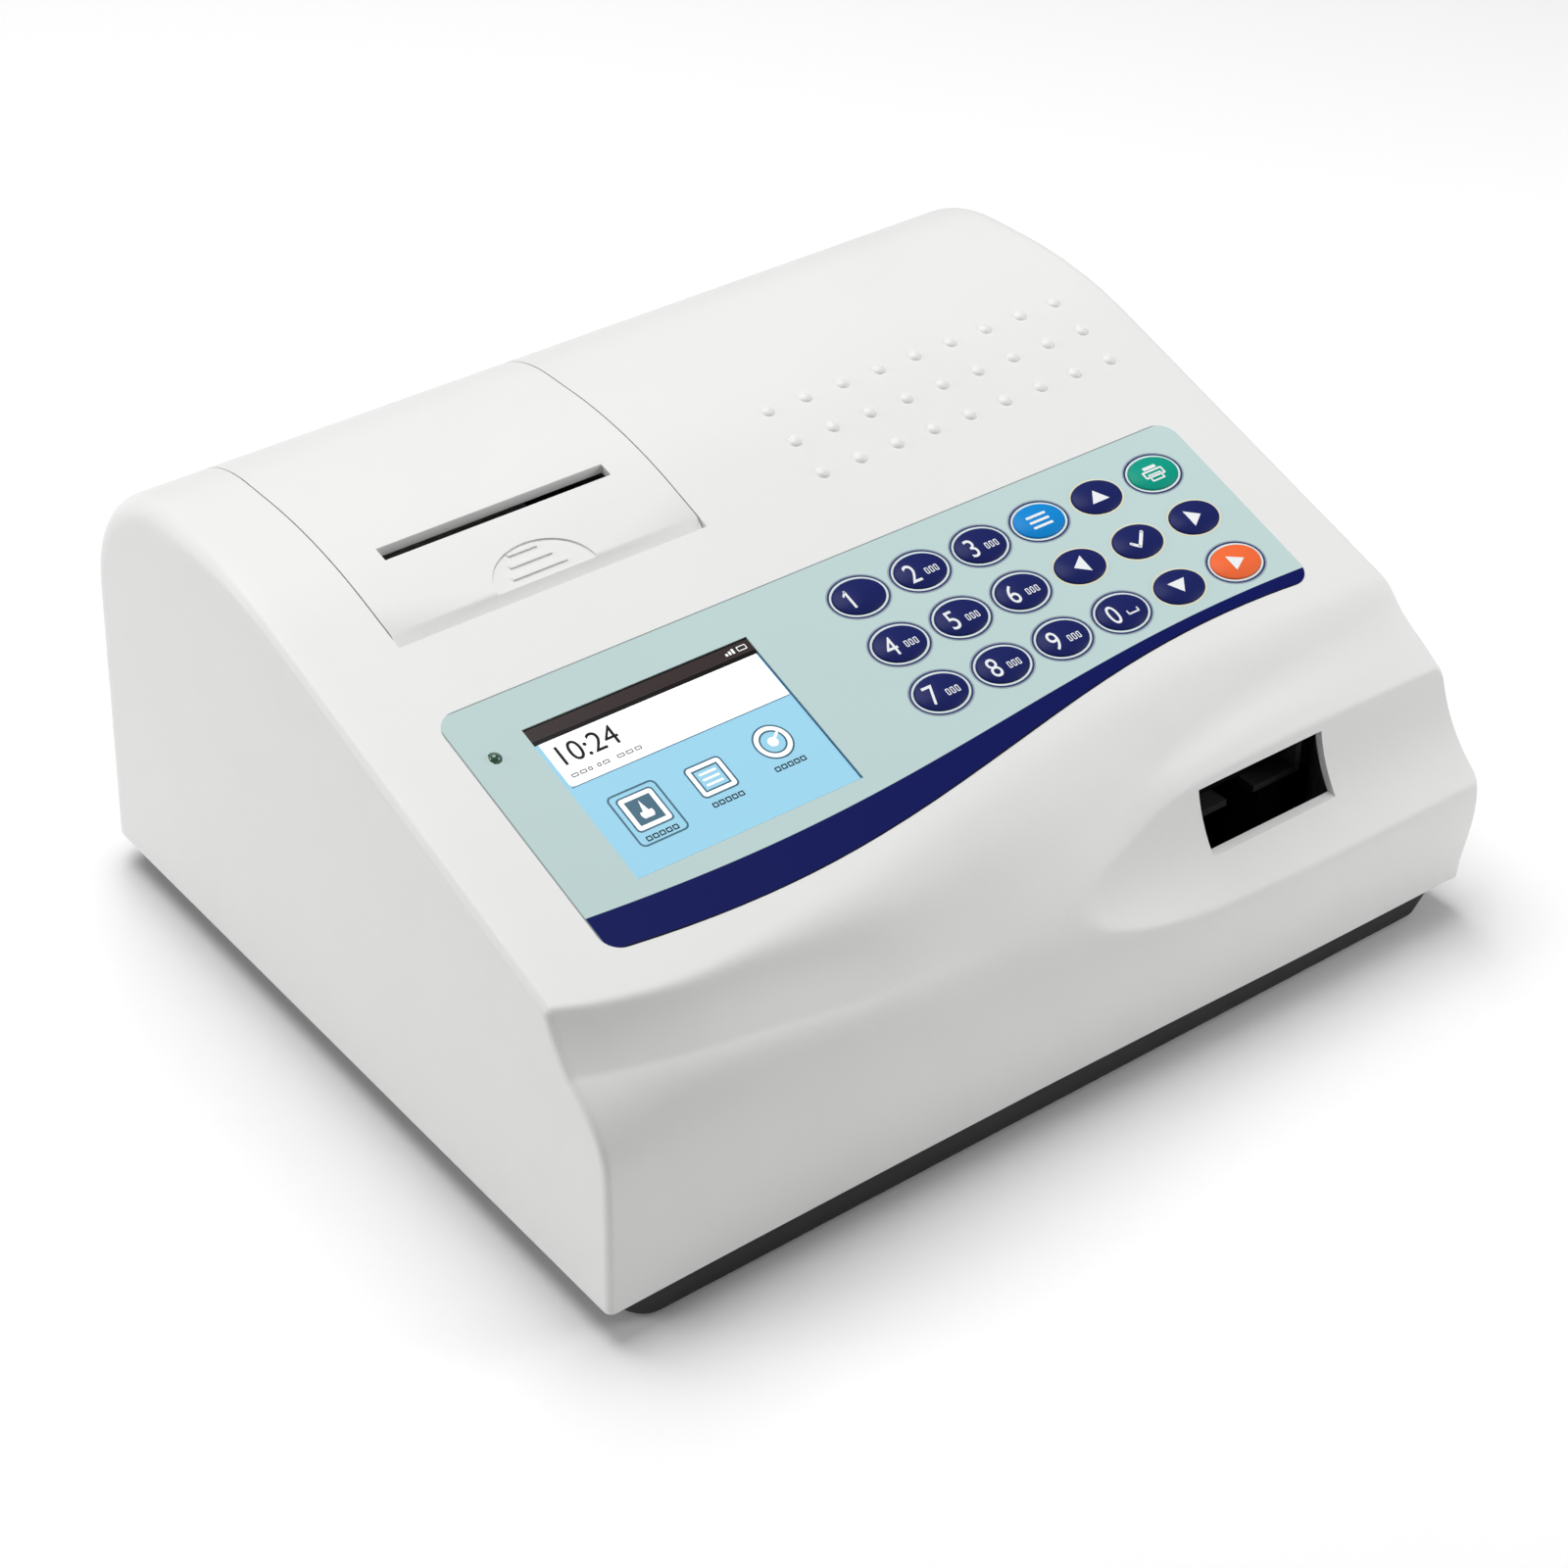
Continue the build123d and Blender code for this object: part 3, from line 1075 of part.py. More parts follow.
def bumps():
    """Grid of small raised domes on the panel."""
    big = (bump_radius ** 2 + bump_rise ** 2) / (2 * bump_rise)
    dome = Pos(0, 0, bump_rise - big) * Sphere(big) & Pos(0, 0, bump_rise / 2 - 0.2) * Box(
        9, 9, bump_rise + 0.4)
    return [on_panel(bump_first_u + bump_pitch * i, bump_first_v + bump_pitch * j) * dome
            for i in range(bump_columns) for j in range(bump_rows)]


def make_top_housing():
    """Moulded white shell with everything cut into and standing under it."""
    outer = body_solid(0.0)
    shell = outer - body_solid(wall)
    bosses = fuse([post(x, y, boss_top_z, 160, boss_radius) for x, y in boss_places]) & outer
    plate_block = box(port_left - wall, port_right + wall, port_face_y - wall, 140,
                      port_low - wall, port_high + wall) & outer
    posts, pilots = panel_posts()
    shell = shell.fuse(*bosses.solids(), plate_block, *posts)
    hy, hz = hinge_place()
    cuts = [box(port_left, port_right, port_face_y, 150, port_low, port_high),
            cover_opening(), *port_cutouts(), *pilots,
            *[post(x, y, boss_top_z - 1, boss_top_z + 12, case_screw_radius + 0.05)
              for x, y in boss_places],
            box(opening_x - opening_width / 2, opening_x + opening_width / 2, -150,
                channel_front, opening_low, opening_high),
            panel.location * Pos(0, 0, -overlay_thickness) * extrude(overlay_outline(), 5),
            screen_box(pane_clearance + 0.1, -9, 1),
            on_panel(led_u, led_v, -9) * extrude(Circle(led_radius + 0.15), 12),
            *key_holes(key_clearance + 0.1, -9, 1)]
    shell = shell - cuts
    return shell.fuse(*[e for e in hinge_lugs()], *bumps())


def cover_opening():
    """Opening in the roof for the printer cover, down to the hinge barrel."""
    hy, hz = hinge_place()
    front = panel_point(cover_front_v)[0]
    return box(cover_left, cover_right, front, 200, hz - hinge_barrel - 0.6, 200)


def make_overlay():
    """Printed overlay with its wavy lower edge, screen window and key holes."""
    sheet = panel.location * Pos(0, 0, -overlay_thickness) * extrude(
        overlay_outline(), overlay_thickness)
    led_hole = on_panel(led_u, led_v, -3) * extrude(Circle(led_radius + 0.15), 6)
    return sheet - [*key_holes(key_clearance, -3, 3), screen_box(0, -3, 3), led_hole]


def make_display_pane():
    """Clear pane under the overlay's window."""
    return screen_box(pane_clearance, -wall - 0.2, -overlay_thickness)


def main():
    """Build every node and write it."""
    os.makedirs("parts", exist_ok=True)
    keep("top_housing", make_top_housing())
    keep("membrane_overlay", make_overlay())
    keep("display_pane", make_display_pane())
    keep("display_module", make_display_module())
    keep("display_board", make_display_board())
    keep("keypad_board", make_keypad_board())
    keep("keypad_switches", make_tact_switches())
    keep("board_screws", make_board_screws())
    keep("status_led", make_status_led())
    for name, u, v in key_places():
        keep(f"key_{name}", make_key(u, v))
    keep("printer_cover", make_printer_cover())
    keep("hinge_pins", make_hinge_pins())
    keep("paper_bay", make_paper_bay())
    keep("paper_roll", make_paper_roll())
    keep("paper_spindle", make_paper_spindle())
    keep("print_frame", make_print_frame())
    keep("print_head", make_print_head())
    keep("head_springs", make_head_springs())
    keep("print_motor", make_print_motor())
    keep("platen_shaft", make_platen_shaft())
    keep("platen_roller", make_platen_roller())
    platen_gear, idler_gear, pinion = printer_gears()
    keep("platen_gear", platen_gear)
    keep("idler_gear", idler_gear)
    keep("print_motor_pinion", pinion)
    keep("release_lever", make_release_lever())
    keep("transport_frame", make_transport_frame())
    keep("strip_tray", make_strip_tray())
    keep("strip_carrier", make_strip_carrier())
    keep("tray_pinion", make_drive_pinion())
    keep("tray_motor", make_tray_motor())
    keep("optics_head", make_optics_head())
    keep("optics_board", make_optics_board())
    keep("base_pan", make_base_pan())
    keep("rubber_feet", make_feet())
    keep("case_screws", make_case_screws())
    keep("main_board", make_main_board())
    keep("power_board", make_power_board())
    keep("power_inlet", make_power_inlet())
    keep("switch_housing", make_switch_housing())
    keep("power_rocker", make_power_rocker())
    keep("serial_port", make_serial_port())
    keep("jack_screws", make_jack_screws())
    keep("usb_port", make_usb_port())


main()
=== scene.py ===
import json
import logging
from dataclasses import dataclass, fields
from enum import Enum
from math import cos, pi, radians, sin, tan
from typing import Iterable, Sequence

import bmesh
import bpy
import numpy as np
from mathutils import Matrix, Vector


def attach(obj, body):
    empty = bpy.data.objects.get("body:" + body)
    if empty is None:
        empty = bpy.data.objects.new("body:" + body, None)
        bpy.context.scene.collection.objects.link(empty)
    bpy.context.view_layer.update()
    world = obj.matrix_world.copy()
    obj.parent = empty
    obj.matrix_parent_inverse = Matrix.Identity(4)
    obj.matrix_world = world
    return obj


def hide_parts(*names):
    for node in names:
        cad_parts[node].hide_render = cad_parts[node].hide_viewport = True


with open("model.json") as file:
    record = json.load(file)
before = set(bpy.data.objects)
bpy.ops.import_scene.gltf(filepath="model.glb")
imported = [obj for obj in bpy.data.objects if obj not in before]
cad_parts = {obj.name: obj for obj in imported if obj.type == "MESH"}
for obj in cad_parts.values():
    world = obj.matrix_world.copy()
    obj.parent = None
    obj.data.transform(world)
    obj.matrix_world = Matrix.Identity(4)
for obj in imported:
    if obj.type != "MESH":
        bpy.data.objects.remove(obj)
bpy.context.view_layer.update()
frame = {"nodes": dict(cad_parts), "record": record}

logging.basicConfig(level=logging.INFO, format="%(message)s")
log = logging.getLogger("analyzer")

MM = 0.001
HAIR = 0.02          # thickness of printing, mm
CASE = "case"        # the body that everything fixed rides on
PANEL_SLOPE = radians(18.24)
KEY_ONE = np.array([2.75, -29.4, 112.4])    # centre of key 1, where u and v are 0
CLOUDS = 35.0        # patches of colour to a metre
SMEARS = 90.0        # patches of sheen to a metre
ACRYLIC_IOR = 1.49


# ------------------------------------------------------------------ shader arithmetic
@dataclass(frozen=True)
class Signal:
    """One shader socket that takes part in Python arithmetic."""
    tree: bpy.types.NodeTree
    socket: bpy.types.NodeSocket

    def math(self, operation: str, *others: "Signal | float") -> "Signal":
        """Result of one Math node.

        Args:
            operation: the Math node's operation.
            others: the second and third values.

        Returns:
            The node's output.
        """
        return math_node(self.tree, operation, self, *others)

    def __add__(self, other: "Signal | float") -> "Signal":
        """Sum."""
        return self.math("ADD", other)

    def __radd__(self, other: float) -> "Signal":
        """Sum, reflected."""
        return self.math("ADD", other)

    def __sub__(self, other: "Signal | float") -> "Signal":
        """Difference."""
        return self.math("SUBTRACT", other)

    def __rsub__(self, other: float) -> "Signal":
        """Difference, reflected."""
        return math_node(self.tree, "SUBTRACT", other, self)

    def __mul__(self, other: "Signal | float") -> "Signal":
        """Product."""
        return self.math("MULTIPLY", other)

    def __rmul__(self, other: float) -> "Signal":
        """Product, reflected."""
        return self.math("MULTIPLY", other)

    def cosine(self) -> "Signal":
        """Cosine of an angle in radians."""
        return self.math("COSINE")

    def soft_step(self, low: float, high: float) -> "Signal":
        """0 below low, 1 above high, and (signal - low) / (high - low) between."""
        return node(self.tree, "ShaderNodeMapRange", {"clamp": True}, Value=self,
                    **{"From Min": low, "From Max": high})


def node(tree: bpy.types.NodeTree, kind: str, settings: dict | None = None,
         output: int | str = 0, **inputs: object) -> Signal:
    """Add one node.

    Args:
        tree: node tree to add to.
        kind: Blender's type name of the node.
        settings: attributes that are set before the sockets.
        output: which output to return.
        inputs: socket name, or "_0" for a socket number, to a value or a Signal.

    Returns:
        The chosen output.
    """
    made = tree.nodes.new(kind)
    for name, value in (settings or {}).items():
        setattr(made, name, value)
    for name, value in inputs.items():
        socket = made.inputs[int(name[1:]) if name.startswith("_") else name]
        if isinstance(value, Signal):
            tree.links.new(value.socket, socket)
        else:
            socket.default_value = value
    return Signal(tree, made.outputs[output])


def math_node(tree: bpy.types.NodeTree, operation: str, *values: "Signal | float") -> Signal:
    """Math node on one to three values."""
    return node(tree, "ShaderNodeMath", {"operation": operation},
                **{f"_{i}": value for i, value in enumerate(values)})


def mix_colour(tree: bpy.types.NodeTree, factor: "Signal | float", low: object,
               high: object) -> Signal:
    """Colour between two: low at factor 0 and high at factor 1."""
    return node(tree, "ShaderNodeMix", {"data_type": "RGBA"}, output=2,
                _0=factor, _6=low, _7=high)


def rgb(code: str, gain: float = 1.0) -> tuple[float, float, float, float]:
    """Linear colour of a six-digit screen colour.

    Args:
        code: red, green and blue as two hexadecimal digits each.
        gain: factor on the linear values.

    Returns:
        Linear red, green, blue and an alpha of 1.
    """
    parts = np.array([int(code[i:i + 2], 16) / 255 for i in (0, 2, 4)])
    linear = np.where(parts <= 0.04045, parts / 12.92, ((parts + 0.055) / 1.055) ** 2.4) * gain
    return (*[float(min(value, 1.0)) for value in linear], 1.0)


# ------------------------------------------------------------------ finishes
class Look(Enum):
    """How a finish answers light."""
    PLASTIC = "plastic"
    METAL = "metal"
    LIT = "lit"
    GLASS = "glass"


@dataclass(frozen=True)
class Finish:
    """A plain finish with a little grain and an uneven sheen."""
    name: str
    colour: str
    roughness: float = 0.45
    look: Look = Look.PLASTIC
    grain: float = 0.0          # bump height of the moulded grain, mm
    grain_size: float = 0.5     # mm
    mottle: float = 0.03        # how far the sheen and the colour wander
    coat: float = 0.0
    glow: float = 0.0
    specular: float = 0.5
    coat_roughness: float = 0.08

    def build(self) -> bpy.types.Material:
        """Make the material, once for each name.

        Returns:
            The finished material.
        """
        if self.name in bpy.data.materials:
            return bpy.data.materials[self.name]
        material = bpy.data.materials.new(self.name)
        material.use_nodes = True
        tree = material.node_tree
        shader = next(n for n in tree.nodes if n.type == "BSDF_PRINCIPLED")
        place = node(tree, "ShaderNodeTexCoord", output="Object")
        self.paint(tree, shader, place)
        even = {"Metallic": 1.0 if self.look is Look.METAL else 0.0, "Coat Weight": self.coat,
                "Specular IOR Level": self.specular, "Coat Roughness": self.coat_roughness}
        if self.look is Look.GLASS:
            even |= {"Transmission Weight": 1.0, "IOR": ACRYLIC_IOR}
        if self.look is Look.LIT:
            even |= {"Emission Color": rgb(self.colour), "Emission Strength": self.glow}
        for socket, value in even.items():
            shader.inputs[socket].default_value = value
        return material

    def colour_signal(self, tree: bpy.types.NodeTree, place: Signal) -> "Signal | tuple":
        """Base colour: the finish's colour, mixed by clouds between a darker one, less by
        1.6 times the mottle, and a lighter one, more by the mottle.

        Args:
            tree: the material's node tree.
            place: Object coordinates.

        Returns:
            The colour.
        """
        drift = node(tree, "ShaderNodeTexNoise", Vector=place, Scale=CLOUDS, Detail=3.0)
        dark = rgb(self.colour, 1.0 - 1.6 * self.mottle)
        return mix_colour(tree, drift, dark, rgb(self.colour, 1.0 + self.mottle))

    def paint(self, tree: bpy.types.NodeTree, shader: bpy.types.Node, place: Signal) -> None:
        """Wire colour, roughness and grain into the shader.

        Roughness is the finish's own plus 4 times the mottle times (smears - 1/2), and
        the grain is a bump whose pits are grain_size across and grain deep.

        Args:
            tree: the material's node tree.
            shader: its Principled node.
            place: Object coordinates.
        """
        colour = self.colour_signal(tree, place)
        tree.links.new(colour.socket, shader.inputs["Base Color"])
        sheen = node(tree, "ShaderNodeTexNoise", Vector=place, Scale=SMEARS, Detail=4.0)
        rough = sheen * (4 * self.mottle) + (self.roughness - 2 * self.mottle)
        tree.links.new(rough.socket, shader.inputs["Roughness"])
        if self.grain:
            pits = node(tree, "ShaderNodeTexNoise", Vector=place,
                        Scale=1.0 / (self.grain_size * MM), Detail=2.0, Roughness=0.55)
            bump = node(tree, "ShaderNodeBump", output="Normal", Strength=1.0,
                        Distance=self.grain * MM, Height=pits)
            tree.links.new(bump.socket, shader.inputs["Normal"])


@dataclass(frozen=True)
class Wave:
    """A wavy line on the panel: v = middle - height cos(pi (u - low_u) / half_length)."""
    middle: float
    height: float
    low_u: float
    half_length: float = 165.0

    def v(self, u: np.ndarray) -> np.ndarray:
        """The line's v at any u."""
        return self.middle - self.height * np.cos(pi * (u - self.low_u) / self.half_length)

    def signal(self, u: Signal) -> Signal:
        """The line's v as shader maths."""
        turn = (u - self.low_u) * (pi / self.half_length)
        return turn.cosine() * -self.height + self.middle


FILM_EDGE = Wave(-59.7, 9.6, -75.0)     # lower edge of the overlay
BAND_EDGE = Wave(-51.65, 5.35, -70.0)   # upper edge of its dark band
FILM_TOP = 15.0
FILM_SHADE_U = 124.0                     # the painted shade along the film's edge runs outside this distance from key 1


@dataclass(frozen=True)
class OverlayPrint(Finish):
    """The overlay's film: pale field, wavy band, and a thin grey line of painted shade round the
    edge.
    """
    band: str = "10185A"
    rim: str = "11131C"
    # grey of the painted shade along the film's top and side edges
    line: str = "8A9494"
    line_width: float = 0.45

    def colour_signal(self, tree: bpy.types.NodeTree, place: Signal) -> Signal:
        """Field, band below its wave, dark rim along the film's wave, and the grey line of painted
        shade along the edge.

        Args:
            tree: the material's node tree.
            place: Object coordinates.

        Returns:
            The colour.
        """
        u, v = panel_signals(tree, place)
        field = super().colour_signal(tree, place)
        under_band = (BAND_EDGE.signal(u) - v).soft_step(-0.08, 0.08)
        banded = mix_colour(tree, under_band, field, rgb(self.band))
        off_rim = (v - FILM_EDGE.signal(u)).soft_step(0.25, 0.55)
        rimmed = mix_colour(tree, off_rim, rgb(self.rim), banded)
        # painted shade: grey along the film's top edge and down its two sides
        top = (v - (FILM_TOP - self.line_width)).soft_step(0.0, 0.2)
        side = (u.math("ABSOLUTE") - FILM_SHADE_U).soft_step(0.0, 0.3)
        return mix_colour(tree, top.math("MAXIMUM", side), rimmed, rgb(self.line))


def panel_signals(tree: bpy.types.NodeTree, place: Signal) -> tuple[Signal, Signal]:
    """u and v on the panel: the place less that of key 1, turned by the panel's slope.

    Args:
        tree: the material's node tree.
        place: Object coordinates, in metres.

    Returns:
        u and v in millimetres.
    """
    split = node(tree, "ShaderNodeSeparateXYZ", Vector=place)
    x, y, z = (Signal(tree, socket) * (1 / MM) for socket in split.socket.node.outputs)
    u = x - float(KEY_ONE[0])
    v = (y - float(KEY_ONE[1])) * cos(PANEL_SLOPE) + (z - float(KEY_ONE[2])) * sin(PANEL_SLOPE)
    return u, v


SHELL_WHITE = Finish("shell_white", "E8E8E7", 0.46, grain=0.03, grain_size=0.55, mottle=0.012)
COVER_WHITE = Finish("cover_white", "E8E8E7", 0.46, grain=0.03, grain_size=0.55, mottle=0.012)
BASE_BLACK = Finish("base_black", "17181A", 0.5, grain=0.05, grain_size=0.7)
OVERLAY_FILM = OverlayPrint("overlay_film", "C0D6D5", 0.42, grain=0.006, grain_size=0.25,
                            mottle=0.012, specular=0.06)
KEY_NAVY = Finish("key_navy", "1C2460", 0.36, mottle=0.02, specular=0.1)
KEY_BLUE = Finish("key_blue", "1286D2", 0.36, mottle=0.02, specular=0.1)
KEY_GREEN = Finish("key_green", "0E9A83", 0.36, mottle=0.02, specular=0.1)
KEY_ORANGE = Finish("key_orange", "F26D3C", 0.36, mottle=0.02, specular=0.1)
INK_WHITE = Finish("ink_white", "EEF2F4", 0.4, mottle=0.01)
INK_NAVY = Finish("ink_navy", "2C3568", 0.4, mottle=0.01)
INK_GREY = Finish("ink_grey", "8C9AAB", 0.4, mottle=0.01)
INK_PALE = Finish("ink_pale", "DDEBEA", 0.4, mottle=0.01)
INK_CREAM = Finish("ink_cream", "E8E6C8", 0.4, mottle=0.01)
SCREEN_SKY = Finish("screen_sky", "A0D8F0", 0.18, Look.LIT, mottle=0.005, glow=0.04, specular=0.2)
SCREEN_WHITE = Finish("screen_white", "FFFFFF", 0.18, Look.LIT, mottle=0.003, glow=0.2)
SCREEN_BAR = Finish("screen_bar", "3A3030", 0.25, mottle=0.01, specular=0.15)
SCREEN_BLACK = Finish("screen_black", "0E0B0B", 0.25, mottle=0.01, specular=0.15)
SCREEN_SLATE = Finish("screen_slate", "3D6377", 0.2, Look.LIT, mottle=0.01, glow=0.2)
SCREEN_EDGE = Finish("screen_edge", "1D5C86", 0.25, mottle=0.01)
PANE = Finish("display_pane_clear", "D8DDE0", 0.05, Look.GLASS, mottle=0.0)
BOARD_GREEN = Finish("board_green", "1A5C38", 0.35, grain=0.02, grain_size=0.9, mottle=0.05)
BOARD_TAN = Finish("board_tan", "8A6A3A", 0.5, grain=0.03, grain_size=0.6, mottle=0.06)
BLACK_PLASTIC = Finish("black_plastic", "1A1A1C", 0.42, grain=0.02)
GREY_PLASTIC = Finish("grey_plastic", "4A4C4E", 0.5, grain=0.03)
ACETAL = Finish("acetal", "E4E0D4", 0.4, mottle=0.02)
LEVER_BLUE = Finish("lever_blue", "2B62A0", 0.4, mottle=0.02)
# black plastic of the strip tray and its carrier, darker than the other black plastic: partly
# painted shade for the dark inside of the strip opening
TRAY_BLACK_AND_SHADE = Finish("tray_black_and_shade", "0C0C0D", 0.5, grain=0.015, specular=0.15)
CARRIER_BLACK_AND_SHADE = Finish("carrier_black_and_shade", "101011", 0.48, grain=0.01, specular=0.15)
STEEL = Finish("steel", "BFC0C3", 0.32, Look.METAL, grain=0.006, grain_size=0.3, mottle=0.05)
NICKEL = Finish("nickel", "CFCFCF", 0.25, Look.METAL, mottle=0.04)
ALUMINIUM = Finish("aluminium", "C9CBCE", 0.38, Look.METAL, grain=0.006, grain_size=0.25)
BRASS = Finish("brass_turned", "C9A45A", 0.28, Look.METAL, mottle=0.03)
MOTOR_BLACK = Finish("motor_black", "1C1C1E", 0.3, coat=0.3)
RUBBER = Finish("rubber_black", "161616", 0.78, grain=0.04, grain_size=0.4)
PAPER = Finish("paper_white", "F2F1EC", 0.7, grain=0.01, grain_size=0.4)
LENS_GREEN = Finish("lens_green", "2E5A45", 0.12, coat=1.0, mottle=0.01)
FLOOR_PALE = Finish("floor_pale", "FFFFFF", 0.9, mottle=0.002)


# ------------------------------------------------------------------ meshes
def make_mesh(name: str, points: np.ndarray, faces: Sequence[Sequence[int]], finish: Finish,
              body: str = CASE, smooth: float = 0.0) -> bpy.types.Object:
    """Put arrays into a mesh object that rides on a body.

    Args:
        name: name of the piece.
        points: places in millimetres, one row each.
        faces: corner numbers of each face, counter-clockwise from outside.
        finish: finish of the piece.
        body: CAD body that it rides on.
        smooth: edges sharper than this many degrees stay sharp; 0 shades flat.

    Returns:
        The new object.
    """
    mesh = bpy.data.meshes.new(name)
    mesh.from_pydata((np.asarray(points, float) * MM).tolist(), [],
                     [tuple(map(int, face)) for face in faces])
    shade(mesh, smooth)
    mesh.materials.append(finish.build())
    made = bpy.data.objects.new(name, mesh)
    bpy.context.scene.collection.objects.link(made)
    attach(made, body)
    log.info("%s: %d faces on %s", name, len(mesh.polygons), body)
    return made


def shade(mesh: bpy.types.Mesh, smooth: float) -> None:
    """Smooth-shade a mesh but for its sharp edges.

    Args:
        mesh: the mesh.
        smooth: edges sharper than this many degrees stay sharp; 0 shades flat.
    """
    mesh.polygons.foreach_set("use_smooth", np.full(len(mesh.polygons), smooth > 0))
    if smooth > 0:
        mesh.set_sharp_from_angle(angle=radians(smooth))
    mesh.update()


def grid_faces(rows: int, columns: int, close_columns: bool = False) -> np.ndarray:
    """Quads of a grid of points stored row by row.

    Args:
        rows: number of rows.
        columns: number of points in a row.
        close_columns: joins the last column to the first.

    Returns:
        One row of four corner numbers for each quad.
    """
    r = np.arange(rows - 1)[:, None]
    c = np.arange(columns if close_columns else columns - 1)[None, :]
    ahead = (c + 1) % columns
    corners = (r * columns + c, r * columns + ahead, (r + 1) * columns + ahead,
               (r + 1) * columns + c)
    return np.stack([np.broadcast_to(k, (rows - 1, c.shape[1])) for k in corners], -1).reshape(-1, 4)


def on_panel(flat: np.ndarray) -> np.ndarray:
    """Places in the part for places on the panel.

    y = y1 + v cos a - h sin a and z = z1 + v sin a + h cos a at the panel's slope a.

    Args:
        flat: rows of u, v and height h over the panel, mm.

    Returns:
        Rows of x, y, z, mm.
    """
    flat = np.asarray(flat, float)
    s, c = sin(PANEL_SLOPE), cos(PANEL_SLOPE)
    u, v, h = flat[:, 0], flat[:, 1], flat[:, 2]
    return np.stack([KEY_ONE[0] + u, KEY_ONE[1] + v * c - h * s, KEY_ONE[2] + v * s + h * c], 1)


def panel_place(points: np.ndarray) -> np.ndarray:
    """Places on the panel for places in the part: on_panel turned round.

    Args:
        points: x, y, z along the last axis, mm.

    Returns:
        u, v, h along the last axis, mm.
    """
    x, y, z = np.moveaxis(points - KEY_ONE, -1, 0)
    s, c = sin(PANEL_SLOPE), cos(PANEL_SLOPE)
    return np.stack([x, y * c + z * s, z * c - y * s], -1)


class FlatArt:
    """Flat shapes on the panel that share one colour: they become one thin printed piece."""

    def __init__(self) -> None:
        """Start with no shapes."""
        self.points: list[np.ndarray] = []
        self.faces: list[list[int]] = []

    def _add(self, points: np.ndarray, faces: Iterable[Sequence[int]]) -> "FlatArt":
        """Add points and their faces.

        Args:
            points: rows of u, v.
            faces: corner numbers, counted from the first of these points.

        Returns:
            The same art, so that calls can be chained.
        """
        base = sum(len(p) for p in self.points)
        self.points.append(np.asarray(points, float))
        self.faces += [[base + int(i) for i in face] for face in faces]
        return self

    def polygon(self, points: Sequence[Sequence[float]]) -> "FlatArt":
        """Filled outline, given counter-clockwise."""
        return self._add(np.array(points, float), [range(len(points))])

    def rectangle(self, u0: float, u1: float, v0: float, v1: float,
                  corner: float = 0.0) -> "FlatArt":
        """Filled rectangle whose corners are quarter circles of the given radius."""
        return self.polygon(rounded(u0, u1, v0, v1, corner))

    def frame(self, u0: float, u1: float, v0: float, v1: float, corner: float,
              width: float) -> "FlatArt":
        """Rounded rectangular line that lies inside a box.

        Args:
            u0: left edge of the box.
            u1: right edge.
            v0: lower edge.
            v1: upper edge.
            corner: radius of the outer corners.
            width: width of the line.

        Returns:
            The same art.
        """
        outer = rounded(u0, u1, v0, v1, corner)
        inner = rounded(u0 + width, u1 - width, v0 + width, v1 - width,
                        max(corner - width, 0.05))
        return self._band(inner, outer)

    def ring(self, u: float, v: float, a: float, b: float, width: float,
             steps: int = 72) -> "FlatArt":
        """Elliptical line: (a cos t, b sin t), and the same with both half axes less a width.

        Args:
            u: middle of the ellipse.
            v: middle of the ellipse.
            a: outer half axis along u.
            b: outer half axis along v.
            width: width of the line.
            steps: points round the ellipse.

        Returns:
            The same art.
        """
        t = np.linspace(0, 2 * pi, steps, endpoint=False)
        turn = np.stack([np.cos(t), np.sin(t)], 1)
        return self._band(turn * [a - width, b - width] + [u, v], turn * [a, b] + [u, v])

    def disc(self, u: float, v: float, radius: float, steps: int = 48) -> "FlatArt":
        """Filled circle: (r cos t, r sin t) about u, v."""
        t = np.linspace(0, 2 * pi, steps, endpoint=False)
        return self.polygon(np.stack([u + radius * np.cos(t), v + radius * np.sin(t)], 1))

    def line(self, points: Sequence[Sequence[float]], width: float) -> "FlatArt":
        """Straight runs of one width, joined by discs.

        Args:
            points: u, v of each bend and end.
            width: width of the line.

        Returns:
            The same art.
        """
        path = np.array(points, float)
        for start, end in zip(path, path[1:]):
            along = (end - start) / np.linalg.norm(end - start)
            side = np.array([-along[1], along[0]]) * width / 2
            self.polygon([start - side, end - side, end + side, start + side])
        for corner in path:
            self.disc(*corner, width / 2, steps=16)
        return self

    def digits(self, text: str, u: float, v: float, height: float,
               stretch: float) -> "FlatArt":
        """Digits set in the built-in face, centred on u, v.

        Args:
            text: the digits.
            u: middle of their width.
            v: middle of their height.
            height: height of a digit.
            stretch: width factor.

        Returns:
            The same art.
        """
        curve = bpy.data.curves.new("digits", "FONT")
        curve.body, curve.size, curve.resolution_u = text, 1.0, 6
        scratch = bpy.data.objects.new("digits", curve)
        bpy.context.scene.collection.objects.link(scratch)
        mesh = bpy.data.meshes.new_from_object(
            scratch.evaluated_get(bpy.context.evaluated_depsgraph_get()))
        flat = np.empty(len(mesh.vertices) * 3)
        mesh.vertices.foreach_get("co", flat)
        flat = flat.reshape(-1, 3)[:, :2]
        middle = (flat.min(0) + flat.max(0)) / 2
        scale = height / (flat.max(0) - flat.min(0))[1]
        faces = [list(face.vertices) for face in mesh.polygons]
        bpy.data.objects.remove(scratch)
        bpy.data.meshes.remove(mesh)
        bpy.data.curves.remove(curve)
        return self._add((flat - middle) * scale * [stretch, 1.0] + [u, v], faces)

    def _band(self, inner: np.ndarray, outer: np.ndarray) -> "FlatArt":
        """Faces between two closed outlines with the same number of points.

        Args:
            inner: rows of u, v.
            outer: rows of u, v.

        Returns:
            The same art.
        """
        count = len(inner)
        i = np.arange(count)
        ahead = (i + 1) % count
        return self._add(np.concatenate([inner, outer]),
                         np.stack([i, i + count, ahead + count, ahead], 1))

